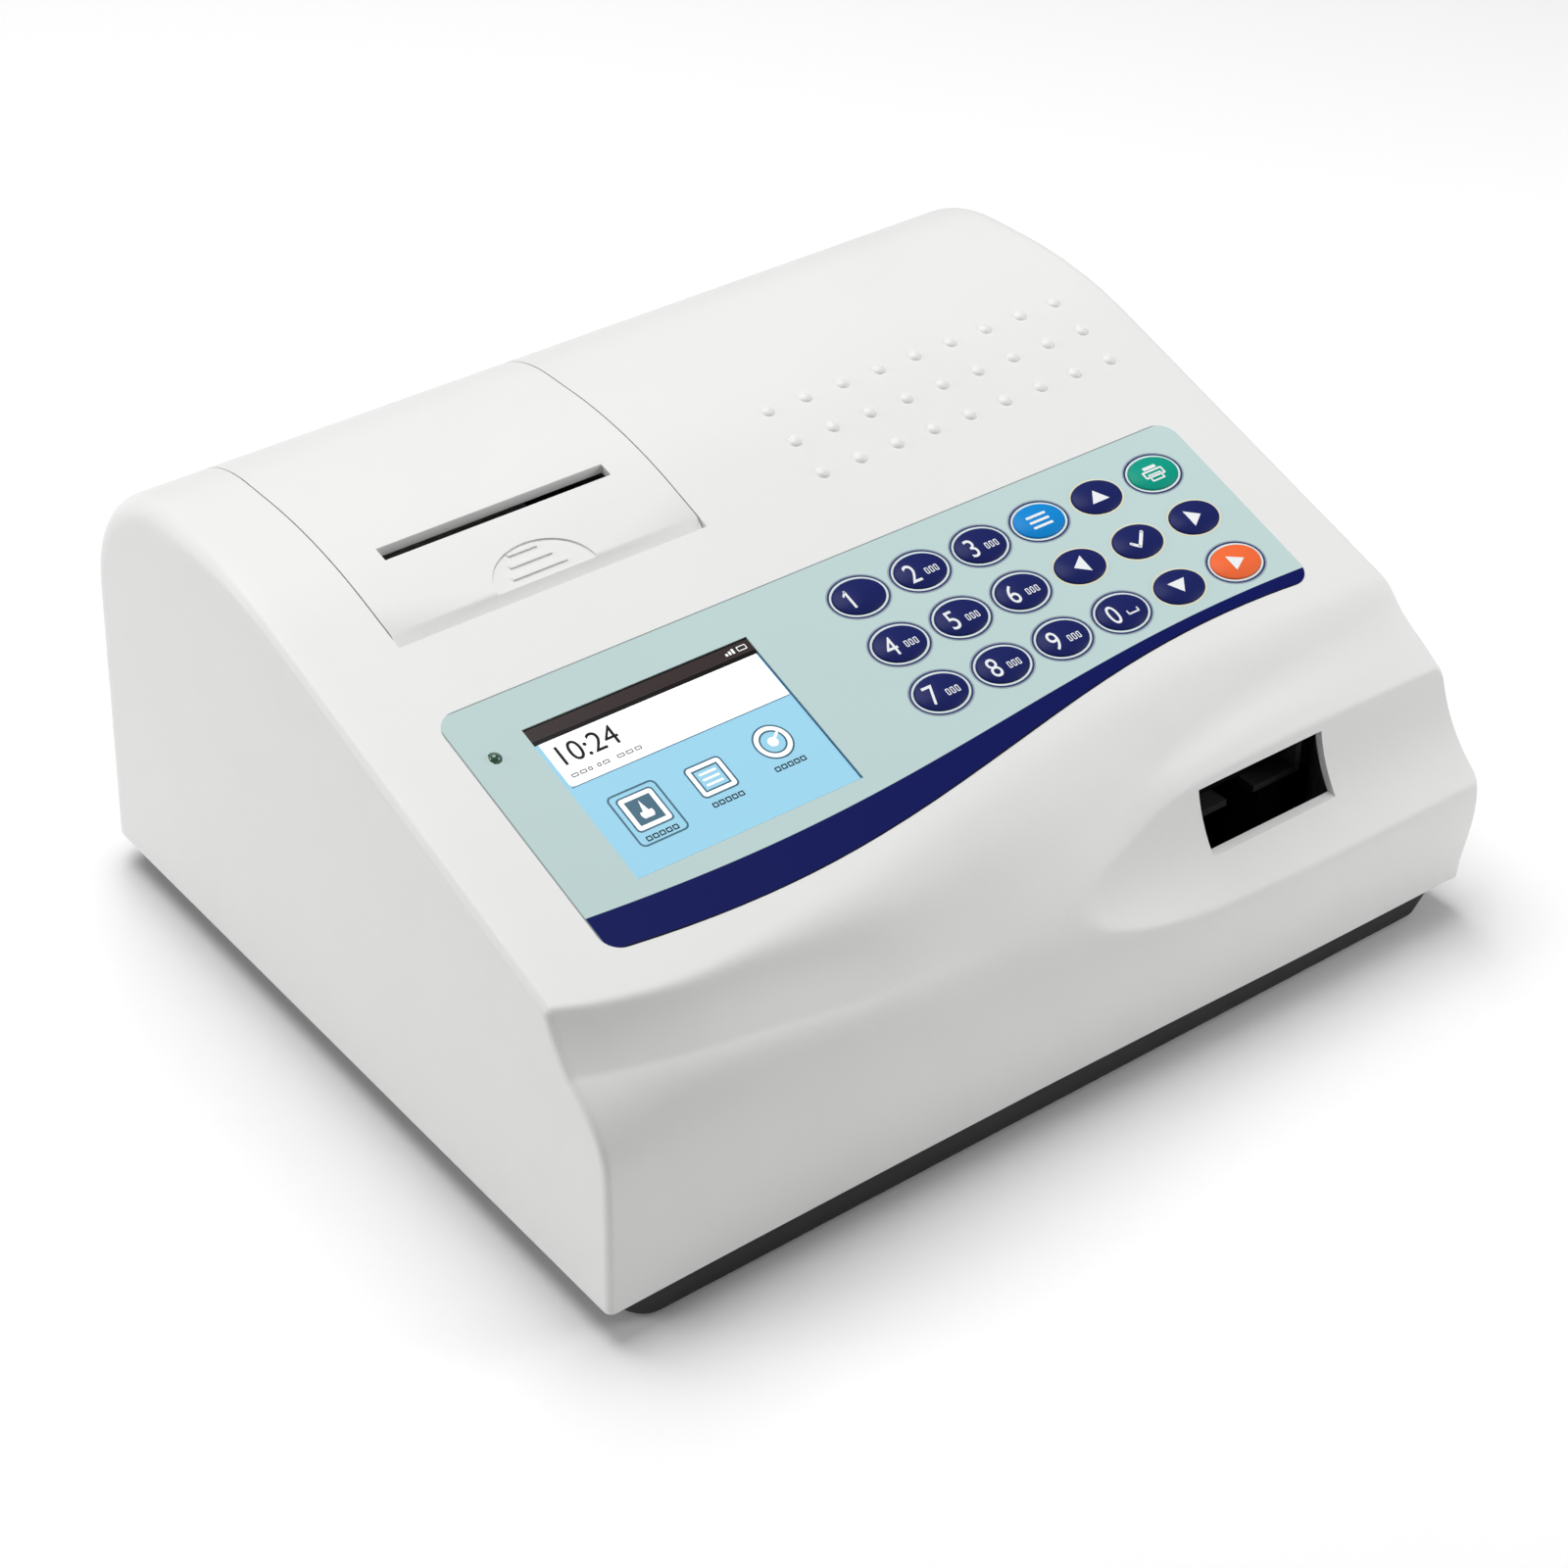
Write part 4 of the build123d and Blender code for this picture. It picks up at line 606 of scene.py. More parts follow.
    def place(self, name: str, h: float, finish: Finish, body: str = CASE) -> bpy.types.Object:
        """Turn the shapes into a piece.

        Args:
            name: name of the piece.
            h: height over the panel, mm.
            finish: its finish.
            body: body that it rides on.

        Returns:
            The new object.
        """
        flat = np.concatenate(self.points)
        flat = np.column_stack([flat, np.full(len(flat), h)])
        return make_mesh(name, on_panel(flat), [up_facing(flat, f) for f in self.faces],
                         finish, body)


def up_facing(points: np.ndarray, face: list[int]) -> list[int]:
    """The face's corners in the order that makes it face out of the panel.

    Twice its area is the sum of u times the next v less the next u times v, and it is
    turned round where that is negative.

    Args:
        points: rows of u, v and more.
        face: numbers of its corners.

    Returns:
        The same numbers, or the same turned round.
    """
    p = points[face][:, :2]
    q = np.roll(p, -1, 0)
    return face if (p[:, 0] * q[:, 1] - q[:, 0] * p[:, 1]).sum() > 0 else face[::-1]


def rounded(u0: float, u1: float, v0: float, v1: float, radius: float,
            steps: int = 8) -> np.ndarray:
    """Counter-clockwise outline of a rectangle with quarter-circle corners.

    Args:
        u0: left edge.
        u1: right edge.
        v0: lower edge.
        v1: upper edge.
        radius: radius of the corners.
        steps: points on each corner.

    Returns:
        Rows of u, v.
    """
    radius = max(radius, 0.01)
    centres = np.array([[u1 - radius, v1 - radius], [u0 + radius, v1 - radius],
                        [u0 + radius, v0 + radius], [u1 - radius, v0 + radius]])
    t = (np.arange(4)[:, None] * pi / 2 + np.linspace(0, pi / 2, steps)[None, :])
    arcs = centres[:, None, :] + radius * np.stack([np.cos(t), np.sin(t)], -1)
    return arcs.reshape(-1, 2)


def smooth_copy(node_name: str, finish: Finish, angle: float = 32.0) -> bpy.types.Object:
    """A merged, smoothly shaded copy of a CAD node that stands for it.

    Args:
        node_name: the CAD node.
        finish: finish of the copy.
        angle: edges sharper than this stay sharp, degrees.

    Returns:
        The new object.
    """
    points, faces = node_arrays(node_name)
    made = make_mesh(f"{node_name}_dressed", points, faces, finish, BODY_OF[node_name], angle)
    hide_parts(node_name)
    return made


def node_arrays(node_name: str) -> tuple[np.ndarray, np.ndarray]:
    """A CAD node's mesh with its doubled points merged.

    Args:
        node_name: the CAD node.

    Returns:
        Its points in millimetres, and its triangles.
    """
    mesh = frame["nodes"][node_name].data
    points = np.empty(len(mesh.vertices) * 3)
    mesh.vertices.foreach_get("co", points)
    mesh.calc_loop_triangles()
    corners = np.empty(len(mesh.loop_triangles) * 3, int)
    mesh.loop_triangles.foreach_get("vertices", corners)
    points = points.reshape(-1, 3) / MM
    _, first, back = np.unique(np.round(points, 4), axis=0, return_index=True,
                               return_inverse=True)
    triangles = back.reshape(-1)[corners].reshape(-1, 3)
    a, b, c = triangles.T
    return points[first], triangles[(a != b) & (b != c) & (a != c)]


BODY_OF = {name: body for body, names in
           frame["record"]["behaviour"]["bodies"].items() for name in names}


# ------------------------------------------------------------------ white shell
@dataclass(frozen=True)
class FrontSlice:
    """How the front runs at one distance across the body: places in mm, angles in degrees
    below level, and curves between the panel's end, the valley, the shoulder and the foot."""
    x: float
    panel_end: float
    blend: float
    wall_angle: float
    valley_y: float
    valley_z: float
    valley_in: float
    valley_out: float
    shoulder_y: float
    shoulder_z: float
    shoulder_angle: float
    foot_y: float
    foot_angle: float


@dataclass(frozen=True)
class Shell:
    """The moulded white top: a smooth outside with the CAD's own inside."""
    width: float = 294.5
    draft: float = 1.6
    base_z: float = 11.0
    top_v: float = 55.7
    roof_radius: float = 150.5
    crest: float = 12.0
    rear_radius: float = 42.0
    rear_draft: float = 2.7
    front_crease: float = 2.2
    panel_crease: float = 2.6
    rear_crease: float = 7.0
    scoop_radius: float = 43.8
    scoop_axis: tuple[float, float] = (-153.4, 81.9)
    scoop_straight_x: float = 60.0
    scoop_bend: float = 250.0
    scoop_lean: float = 29.0
    scoop_soft: float = 0.4
    scoop_left: float = -95.0       # the scoop ends this far left of scoop_straight_x
    scoop_top: float = 112.0        # and below this height
    side_level: float = 60.0        # height at which the outline of a side is read
    column_step: float = 1.25
    kept_depth: float = 0.3         # faces of the CAD node deeper than this are kept
    tuck_depth: float = 0.05        # how far they stay under a rounded crease
    opening: tuple[float, float, float, float] = (53.8, 98.8, 56.0, 73.6)
    cover: tuple[float, float] = (-116.45, -19.85)
    cover_front_v: float = 39.0
    cover_rear_z: float = 90.77
    recess: tuple[float, float, float, float] = (12.0, 128.0, 19.0, 62.0)
    slices: tuple[FrontSlice, ...] = (
        FrontSlice(-150.0, -72.1, 1.6, 66, -107.2, 75.3, 47, 32, -122.8, 53.4, 87, -123.9, 89),
        FrontSlice(-105.0, -81.5, 2.8, 64, -116.6, 72.5, 50, 37, -124.7, 52.4, 86, -123.4, 90),
        FrontSlice(-59.0, -82.5, 9.0, 62, -119.4, 67.1, 54, 47, -125.4, 50.4, 85, -123.2, 91),
        FrontSlice(-20.0, -77.0, 14.0, 57, -118.4, 64.9, 54, 54, -125.6, 48.4, 83, -123.2, 92),
        FrontSlice(18.0, -70.0, 16.0, 51, -116.4, 65.9, 50, 50, -126.2, 47.9, 81, -123.5, 93),
        FrontSlice(50.0, -65.0, 13.0, 50, -108.4, 76.5, 38, 37, -126.9, 50.4, 78, -123.9, 94),
        FrontSlice(90.0, -62.0, 9.0, 50, -106.4, 78.9, 34, 33, -127.6, 50.4, 77, -124.5, 94),
        FrontSlice(150.0, -62.0, 5.0, 50, -106.4, 78.0, 36, 34, -127.7, 48.4, 76, -124.8, 94),
    )

    def value(self, x: np.ndarray, field: str) -> np.ndarray:
        """A slice dimension at any x: a cubic through the slices whose slope at a slice
        is the harmonic mean of the two neighbouring slopes, or zero where they differ in
        sign, so that it never overshoots.

        Args:
            x: distances across, mm.
            field: name of the dimension.

        Returns:
            The dimension at each x.
        """
        xs = np.array([s.x for s in self.slices])
        ys = np.array([getattr(s, field) for s in self.slices], float)
        rates = np.diff(ys) / np.diff(xs)
        before, after = rates[:-1], rates[1:]
        same = before * after > 0
        inner = np.where(same, 2 * before * after / np.where(same, before + after, 1.0), 0.0)
        slopes = np.concatenate([rates[:1], inner, rates[-1:]])
        i = np.clip(np.searchsorted(xs, x, side="right") - 1, 0, len(xs) - 2)
        h = xs[i + 1] - xs[i]
        t = (x - xs[i]) / h
        return ((2 * t**3 - 3 * t**2 + 1) * ys[i] + (t**3 - 2 * t**2 + t) * h * slopes[i]
                + (3 * t**2 - 2 * t**3) * ys[i + 1] + (t**3 - t**2) * h * slopes[i + 1])

    @staticmethod
    def heading(angle: np.ndarray) -> np.ndarray:
        """Unit y, z direction forward and down by an angle in degrees."""
        a = np.radians(angle)
        return np.stack([-np.cos(a), -np.sin(a)], -1)

    def inset(self, point: np.ndarray, before: np.ndarray, after: np.ndarray,
              depth: np.ndarray) -> np.ndarray:
        """Point moved inwards: by depth / (1 + a . b) times a + b, where a and b are the
        inward normals of the two headings that meet there.

        Args:
            point: y, z.
            before: heading of the curve that comes in, degrees.
            after: heading of the curve that goes out, degrees.
            depth: how far inwards, mm.

        Returns:
            The moved y, z.
        """
        a, b = self.heading(before), self.heading(after)
        a = np.stack([-a[..., 1], a[..., 0]], -1)
        b = np.stack([-b[..., 1], b[..., 0]], -1)
        return point + (depth / (1 + (a * b).sum(-1)))[..., None] * (a + b)

    @staticmethod
    def bezier(start: np.ndarray, start_angle: np.ndarray, end: np.ndarray,
               end_angle: np.ndarray, count: int, reach: float = 0.36) -> np.ndarray:
        """Cubic curve whose handles are reach times the chord along the two headings.

        Args:
            start: y, z where it starts.
            start_angle: heading there, degrees.
            end: y, z where it ends.
            end_angle: heading there, degrees.
            count: points along it.
            reach: share of the chord.

        Returns:
            y, z of every point, with the points along the first axis.
        """
        span = reach * np.linalg.norm(end - start, axis=-1, keepdims=True)
        p1 = start + Shell.heading(start_angle) * span
        p2 = end - Shell.heading(end_angle) * span
        t = np.linspace(0, 1, count)[:, None, None]
        return ((1 - t)**3 * start + 3 * (1 - t)**2 * t * p1 + 3 * (1 - t) * t**2 * p2
                + t**3 * end)

    def panel_point(self, v: np.ndarray, depth: np.ndarray) -> np.ndarray:
        """y, z on the panel at v, or under it by depth."""
        c, s = cos(PANEL_SLOPE), sin(PANEL_SLOPE)
        return np.stack([KEY_ONE[1] + v * c + depth * s, KEY_ONE[2] + v * s - depth * c], -1)

    def outline(self, x: np.ndarray, depth: np.ndarray) -> np.ndarray:
        """Outline of the body across X from the front foot over the roof to the rear foot.

        The front is four cubic curves between the slice's points, the panel is straight,
        the roof and the rear are arcs, and the rear wall leans by its draft.

        Args:
            x: distances across, mm.
            depth: how far each outline is set in, mm.

        Returns:
            y, z of every point: rows along the outline, columns across.
        """
        at = {f.name: self.value(x, f.name) for f in fields(FrontSlice) if f.name != "x"}
        end, blend, angle = at["panel_end"], at["blend"], at["wall_angle"]
        edge = self.panel_point(end + blend, depth)
        corner = self.panel_point(end, np.zeros_like(x))
        top = self.inset(corner + self.heading(angle) * blend[:, None], angle, angle, depth)
        down = at["shoulder_angle"]
        valley = self.inset(np.stack([at["valley_y"], at["valley_z"]], -1),
                            at["valley_in"], at["valley_out"], depth)
        swell = self.inset(np.stack([at["shoulder_y"], at["shoulder_z"]], -1), down, down, depth)
        foot = np.stack([at["foot_y"] + depth, np.full_like(x, self.base_z)], -1)
        slope = np.full_like(x, np.degrees(PANEL_SLOPE))
        front = [self.bezier(swell, down, foot, at["foot_angle"], 22)[::-1],
                 self.bezier(valley, at["valley_out"], swell, down, 28)[::-1],
                 self.bezier(top, angle, valley, at["valley_in"], 18)[::-1],
                 self.bezier(edge, slope, top, angle, 14, 0.45)[::-1]]
        t = np.linspace(0, 1, 22)[:, None]
        v = (end + blend)[None, :] * (1 - t) + self.cover_front_v * t
        panel = [self.panel_point(v, np.broadcast_to(depth, v.shape))]
        v = np.broadcast_to(np.linspace(self.cover_front_v, self.top_v, 4)[1:, None],
                            (3, len(x)))
        panel.append(self.panel_point(v, np.broadcast_to(depth, v.shape)))
        start = panel[-1][-1]
        r1, r2 = self.roof_radius - depth, self.rear_radius - depth
        centre = start + np.stack([r1 * sin(PANEL_SLOPE), -r1 * cos(PANEL_SLOPE)], -1)
        a = np.linspace(PANEL_SLOPE, 0, 16)[1:, None, None]
        roof = centre + r1[None, :, None] * np.concatenate([-np.sin(a), np.cos(a)], -1)
        middle = centre + np.stack([np.full_like(x, self.crest), r1 - r2], -1)
        a = np.linspace(0, radians(90 - self.rear_draft), 30)[:, None, None]
        back = middle + r2[None, :, None] * np.concatenate([np.sin(a), np.cos(a)], -1)
        rear_top = back[-1]
        z = np.array([self.cover_rear_z, 76.0, self.recess[3], 48.0, 33.0, self.recess[2],
                      14.0, self.base_z])[:, None]
        z = np.broadcast_to(z, (z.shape[0], len(x)))
        rear = np.stack([rear_top[None, :, 0] + (rear_top[None, :, 1] - z)
                         * tan(radians(self.rear_draft)), z], -1)
        parts = [front[0], front[1][1:], front[2][1:], front[3][1:], panel[0][1:], panel[1],
                 roof, back, rear]
        return np.concatenate(parts)

    def creases(self, points: np.ndarray) -> np.ndarray:
        """Radius of the side crease: small at the front, a little larger on the panel, and
        growing over the roof's back by the smooth step 3 t^2 - 2 t^3.

        Args:
            points: y, z of places on the outline.

        Returns:
            The radius at each.
        """
        y, z = points[..., 0], points[..., 1]
        back = np.clip((y - 20) / 90, 0, 1)
        low = np.clip((z - 60) / 30, 0, 1)
        front = self.front_crease + (self.panel_crease - self.front_crease) * low
        return front + (self.rear_crease - front) * back * back * (3 - 2 * back)

    def half_width(self, z: np.ndarray) -> np.ndarray:
        """Half of the body's width at a height."""
        return self.width / 2 - (z - self.base_z) * tan(radians(self.draft))

    def scoop_push(self, points: np.ndarray) -> np.ndarray:
        """Points that lie inside the scoop's bent cylinder, moved out to its wall.

        The cylinder's centre line is straight to the right of scoop_straight_x and an
        arc to the left of it. The new distance from that line is the soft maximum
        (d + R + sqrt((d - R)^2 + k^2)) / 2 of the old distance d and the radius R.

        Args:
            points: x, y, z of the points.

        Returns:
            The moved points.
        """
        out = np.array([0.0, -cos(radians(self.scoop_lean)), sin(radians(self.scoop_lean))])
        start = np.array([self.scoop_straight_x, *self.scoop_axis])
        pivot = start + out * self.scoop_bend
        across = points[:, 0] - start[0]
        inward = -(points - pivot) @ out
        reach = np.hypot(np.minimum(across, 0), inward)
        bent = pivot + (np.stack([np.minimum(across, 0), 0 * reach, 0 * reach], 1)
                        - inward[:, None] * out) * (self.scoop_bend / reach)[:, None]
        centre = np.where((across >= 0)[:, None],
                          start + np.array([1.0, 0, 0]) * across[:, None], bent)
        arm = points - centre
        distance = np.linalg.norm(arm, axis=1)
        gap = distance - self.scoop_radius
        pushed = (distance + self.scoop_radius + np.sqrt(gap**2 + self.scoop_soft**2)) / 2
        near = ((gap < 8 * self.scoop_soft) & (points[:, 2] < self.scoop_top)
                & (across > self.scoop_left))
        scale = np.where(near, pushed / np.maximum(distance, 1e-6), 1.0)
        return centre + arm * scale[:, None]

    def columns(self) -> np.ndarray:
        """Even columns across the body, with one on each straight edge of a hole.

        Returns:
            Their x, from left to right.
        """
        inside = self.width / 2 - 12
        even = np.arange(-inside, inside + 0.1, self.column_step)
        fixed = np.array([*self.cover, self.recess[0], self.recess[1]])
        keep = np.abs(even[:, None] - fixed[None, :]).min(1) > 0.7
        return np.sort(np.concatenate([even[keep], fixed]))

    def skin(self) -> tuple[np.ndarray, np.ndarray, int]:
        """The outside as one grid.

        Inside the creases the columns stand at fixed x. In a crease of radius r, the
        column at angle a stands at half width - r + r sin a and its outline is set in
        by r (1 - cos a), which carries a quarter circle along the outline.

        Returns:
            Points, quads and the number of points in a row.
        """
        inner = self.columns()
        base = self.outline(inner, np.zeros_like(inner))
        rows = np.arange(len(base))
        sides = []
        for sign in (-1, 1):
            edge_x = np.full(len(rows), sign * self.half_width(self.side_level))
            radius = self.creases(self.outline(edge_x[:1], np.zeros(1)))[:, 0]
            strips = []
            for angle in np.linspace(0, pi / 2, 9):
                set_in = self.outline(edge_x, radius * (1 - cos(angle)))[rows, rows]
                x = sign * (self.half_width(set_in[:, 1]) - radius + radius * sin(angle))
                strips.append(np.column_stack([x, set_in]))
            sides.append(np.stack(strips, 1))
        middle = np.concatenate([np.broadcast_to(inner, base.shape[:2])[..., None], base], -1)
        grid = np.concatenate([sides[0][:, ::-1], middle, sides[1]], 1)
        points = self.scoop_push(grid.reshape(-1, 3))
        return points, grid_faces(*grid.shape[:2])[:, ::-1], grid.shape[1]

    def dress(self) -> None:
        """Make the shell: outside, flat sides and the CAD's inside."""
        points, quads, columns = self.skin()
        rows = len(points) // columns
        quads = quads[~self.holes(points[quads])]
        left = np.arange(rows) * columns
        right = left + columns - 1
        faces = quads.tolist() + [left.tolist(), right[::-1].tolist()]
        points, faces = self.cut_opening(points, faces)
        inside_points, inside_faces = self.inside()
        faces += (inside_faces + len(points)).tolist()
        shell = make_mesh("white_shell", np.concatenate([points, inside_points]), faces,
                          SHELL_WHITE, CASE, 40.0)
        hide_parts("top_housing")

    def holes(self, corners: np.ndarray) -> np.ndarray:
        """Which quads lie in the cover's opening, the rear recess or under the overlay.

        Args:
            corners: x, y, z of each quad's four corners.

        Returns:
            True for each quad that is left out.
        """
        middle = corners.mean(1)
        x, y, z = middle.T
        v, h = panel_place(middle)[:, 1:].T
        under_cover = ((x > self.cover[0]) & (x < self.cover[1]) & (v > self.cover_front_v)
                       & (z > self.cover_rear_z) & (y > -10))
        x0, x1, z0, z1 = self.recess
        rear = (x > x0) & (x < x1) & (z > z0) & (z < z1) & (y > 100)
        u, v = np.moveaxis(panel_place(corners)[..., :2], -1, 0)
        film = ((np.abs(h) < 0.1)[:, None] & (u > -119) & (u < 116)
                & (v > FILM_EDGE.v(u) + 1.5) & (v < FILM_TOP - 1.5)).all(1)
        return under_cover | rear | film

    def cut_opening(self, points: np.ndarray, faces: list) -> tuple[np.ndarray, list]:
        """Cut the strip opening out of the skin along its four straight edges.

        Args:
            points: x, y, z of the skin's points.
            faces: corner numbers of its faces.

        Returns:
            Points and faces of the cut skin.
        """
        x0, x1, z0, z1 = self.opening
        mesh = bpy.data.meshes.new("cut_skin")
        mesh.from_pydata(points.tolist(), [], faces)
        work = bmesh.new()
        work.from_mesh(mesh)

        def within(face: bmesh.types.BMFace, margin: float) -> bool:
            """Whether a small face at the front has its middle in the opening or near it."""
            x, y, z = face.calc_center_median()
            return (len(face.verts) < 9 and y < -90 and x0 - margin < x < x1 + margin
                    and z0 - margin < z < z1 + margin)

        for place, normal in (((x0, 0, 0), (1, 0, 0)), ((x1, 0, 0), (1, 0, 0)),
                              ((0, 0, z0), (0, 0, 1)), ((0, 0, z1), (0, 0, 1))):
            near = [face for face in work.faces if within(face, 4.0)]
            around = {part for face in near for part in (*face.edges, *face.verts)}
            bmesh.ops.bisect_plane(work, geom=[*near, *around], plane_co=place,
                                   plane_no=normal)
        gone = [face for face in work.faces if within(face, 0.0)]
        bmesh.ops.delete(work, geom=gone, context="FACES")
        work.to_mesh(mesh)
        work.free()
        places = np.empty(len(mesh.vertices) * 3)
        mesh.vertices.foreach_get("co", places)
        cut = [list(face.vertices) for face in mesh.polygons]
        bpy.data.meshes.remove(mesh)
        return places.reshape(-1, 3), cut

    def inside(self) -> tuple[np.ndarray, np.ndarray]:
        """The CAD node's faces that lie under the skin: its walls' insides, posts and ribs.

        Returns:
            Their points and triangles.
        """
        points, triangles = node_arrays("top_housing")
        kept = self.depth(points[triangles].mean(1)) > self.kept_depth
        return self.tuck(points), triangles[kept]

    def section(self, points: np.ndarray) -> tuple[np.ndarray, np.ndarray]:
        """Where points stand in the outline at their own x.

        Each run a to b of the outline is met at the share (p - a) . (b - a) / |b - a|^2 of
        its length, held between 0 and 1, and the nearest of these places counts.

        Args:
            points: x, y, z of the points.

        Returns:
            Their distance inside the outline, negative outside it, and the direction
            from the outline's nearest place to them, as y, z.
        """
        last = self.width / 2 - 1.25
        line = self.outline(np.clip(points[:, 0], -last, last), np.zeros(len(points)))
        start, run = line[:-1], line[1:] - line[:-1]
        offset = points[None, :, 1:] - start
        share = np.clip((offset * run).sum(-1) / np.maximum((run**2).sum(-1), 1e-9), 0, 1)
        gap = offset - share[..., None] * run
        away = np.linalg.norm(gap, axis=-1)
        pick = (away.argmin(0), np.arange(len(points)))
        turn = run[pick][:, 0] * offset[pick][:, 1] - run[pick][:, 1] * offset[pick][:, 0]
        sign = np.where(turn < 0, 1.0, -1.0)
        nearest = away[pick]
        heading = gap[pick] / np.maximum(nearest, 1e-9)[:, None]
        return sign * nearest, heading * sign[:, None]

    def tuck(self, points: np.ndarray) -> np.ndarray:
        """Points that stand outside a rounded crease, moved in onto its quarter circle.

        With d the distance to the side and e the distance to the outline, the circle's
        middle is at (r, r): a point nearer to the corner than r is drawn towards that
        middle until it stands r away from it.

        Args:
            points: x, y, z of the points.

        Returns:
            The moved points.
        """
        moved = points.copy()
        radius = self.creases(points[:, 1:])
        side = self.half_width(points[:, 2]) - np.abs(points[:, 0])
        near = np.flatnonzero((side < radius) & (np.abs(points[:, 0]) > 100))
        under, heading = self.section(points[near])
        arm = np.stack([radius[near] - side[near], radius[near] - under], 1)
        reach = np.linalg.norm(arm, axis=1)
        allowed = radius[near] - self.tuck_depth
        out = (under < radius[near]) & (reach > allowed) & (under > -1)
        arm *= (1 - allowed / np.maximum(reach, 1e-9))[:, None]
        near, arm, heading = near[out], arm[out], heading[out]
        moved[near, 0] -= np.sign(points[near, 0]) * arm[:, 0]
        moved[near, 1:] += heading * arm[:, 1:]
        return moved

    def depth(self, points: np.ndarray) -> np.ndarray:
        """How deep points lie under the outside: the least of their distances to the
        outline at their x and to the leaning side, and -1 inside the scoop.

        Args:
            points: x, y, z of the points.

        Returns:
            One depth for each, mm.
        """
        depths = []
        for part in np.array_split(points, max(1, len(points) // 4000)):
            section = self.section(part)[0]
            side = self.half_width(part[:, 2]) - np.abs(part[:, 0])
            pushed = np.linalg.norm(self.scoop_push(part) - part, axis=1)
            scooped = (pushed > 0.25 * self.scoop_soft) & (part[:, 1] <= -80)
            least = np.minimum(section, side)
            depths.append(np.where(scooped, np.minimum(least, -1.0), np.minimum(least, 9.0)))
        return np.concatenate(depths)


@dataclass(frozen=True)
class Bumps:
    """The grid of raised dots on the panel."""
    columns: int = 9
    rows: int = 3
    pitch: float = 13.02
    first_u: float = 18.2
    first_v: float = 41.4
    radius: float = 2.0
    rise: float = 0.95
    levels: int = 8
    spokes: int = 24

    def dress(self) -> None:
        """Domes: height = rise (1 - q^2)^(3/4) at share q of the radius, so they meet the
        panel steeply as moulded dots do."""
        q = np.sin(np.linspace(0, pi / 2, self.levels))[::-1, None]
        t = np.linspace(0, 2 * pi, self.spokes, endpoint=False)
        ring = np.stack([q * np.cos(t), q * np.sin(t),
                         np.broadcast_to((1 - q**2)**0.75, (self.levels, self.spokes))], -1)
        pole = (self.levels - 1) * self.spokes
        dome = ring.reshape(-1, 3)[:pole + 1] * [self.radius, self.radius, self.rise]
        quads = np.minimum(grid_faces(self.levels, self.spokes, close_columns=True), pole)
        points, faces = [], []
        for i in range(self.columns):
            for j in range(self.rows):
                numbered = quads + len(dome) * len(points)
                faces += [list(dict.fromkeys(face)) for face in numbered.tolist()]
                points.append(dome + [self.first_u + i * self.pitch,
                                      self.first_v + j * self.pitch, 0.0])
        make_mesh("panel_dots", self.over_roof(np.concatenate(points)), faces, SHELL_WHITE,
                  CASE, 60.0)

    def over_roof(self, flat: np.ndarray) -> np.ndarray:
        """Places for u, v, h on the panel and on the roof above it.

        Past the panel's top at v0 a point keeps its u and h, and v - v0 is an arc length
        on the roof's circle of radius R: the panel's point at v0 plus
        (R + h) (sin a, cos a) less R times the starting direction, at angle a = slope
        - (v - v0) / R.

        Args:
            flat: rows of u, v, h.

        Returns:
            Rows of x, y, z.
        """
        shell = Shell()
        radius, top = shell.roof_radius, shell.top_v
        start = on_panel(np.column_stack([flat[:, 0], np.full(len(flat), top),
                                          np.zeros(len(flat))]))
        angle = PANEL_SLOPE - (flat[:, 1] - top) / radius
        reach = radius + flat[:, 2]
        y = start[:, 1] + radius * sin(PANEL_SLOPE) - reach * np.sin(angle)
        z = start[:, 2] - radius * cos(PANEL_SLOPE) + reach * np.cos(angle)
        arc = np.column_stack([start[:, 0], y, z])
        return np.where(flat[:, 1:2] > top, arc, on_panel(flat))


# ------------------------------------------------------------------ panel
@dataclass(frozen=True)
class Overlay:
    """Printed film with its wavy lower edge, on the panel."""
    proud: float = 0.06
    oval: float = 2.2           # how much longer than high each half of a ring is
    rings: tuple[tuple[str, Finish, bool, float, float], ...] = (
        ("ring_pale", INK_PALE, True, 8.8, 0.6), ("ring_cream", INK_CREAM, False, 8.7, 0.5),
        ("ring_navy", INK_NAVY, True, 9.45, 0.65), ("ring_grey", INK_GREY, True, 9.8, 0.22))

    def dress(self) -> None:
        """The CAD film with its printing and the painted shade along its edge, three rings round
        each numbered or coloured key, and a cream one round each of the rest."""
        points, faces = node_arrays("membrane_overlay")
        lift = np.array([0, -sin(PANEL_SLOPE), cos(PANEL_SLOPE)]) * self.proud
        film = make_mesh("overlay_film", points + lift, faces, OVERLAY_FILM, CASE, 30.0)
        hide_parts("membrane_overlay")
        for name, finish, ringed, outer, width in self.rings:
            art = FlatArt()
            for key in (key for key in KEYS if key.ringed is ringed):
                art.ring(key.u, key.v, outer, outer - self.oval, width)
            art.place(name, self.proud + HAIR, finish)


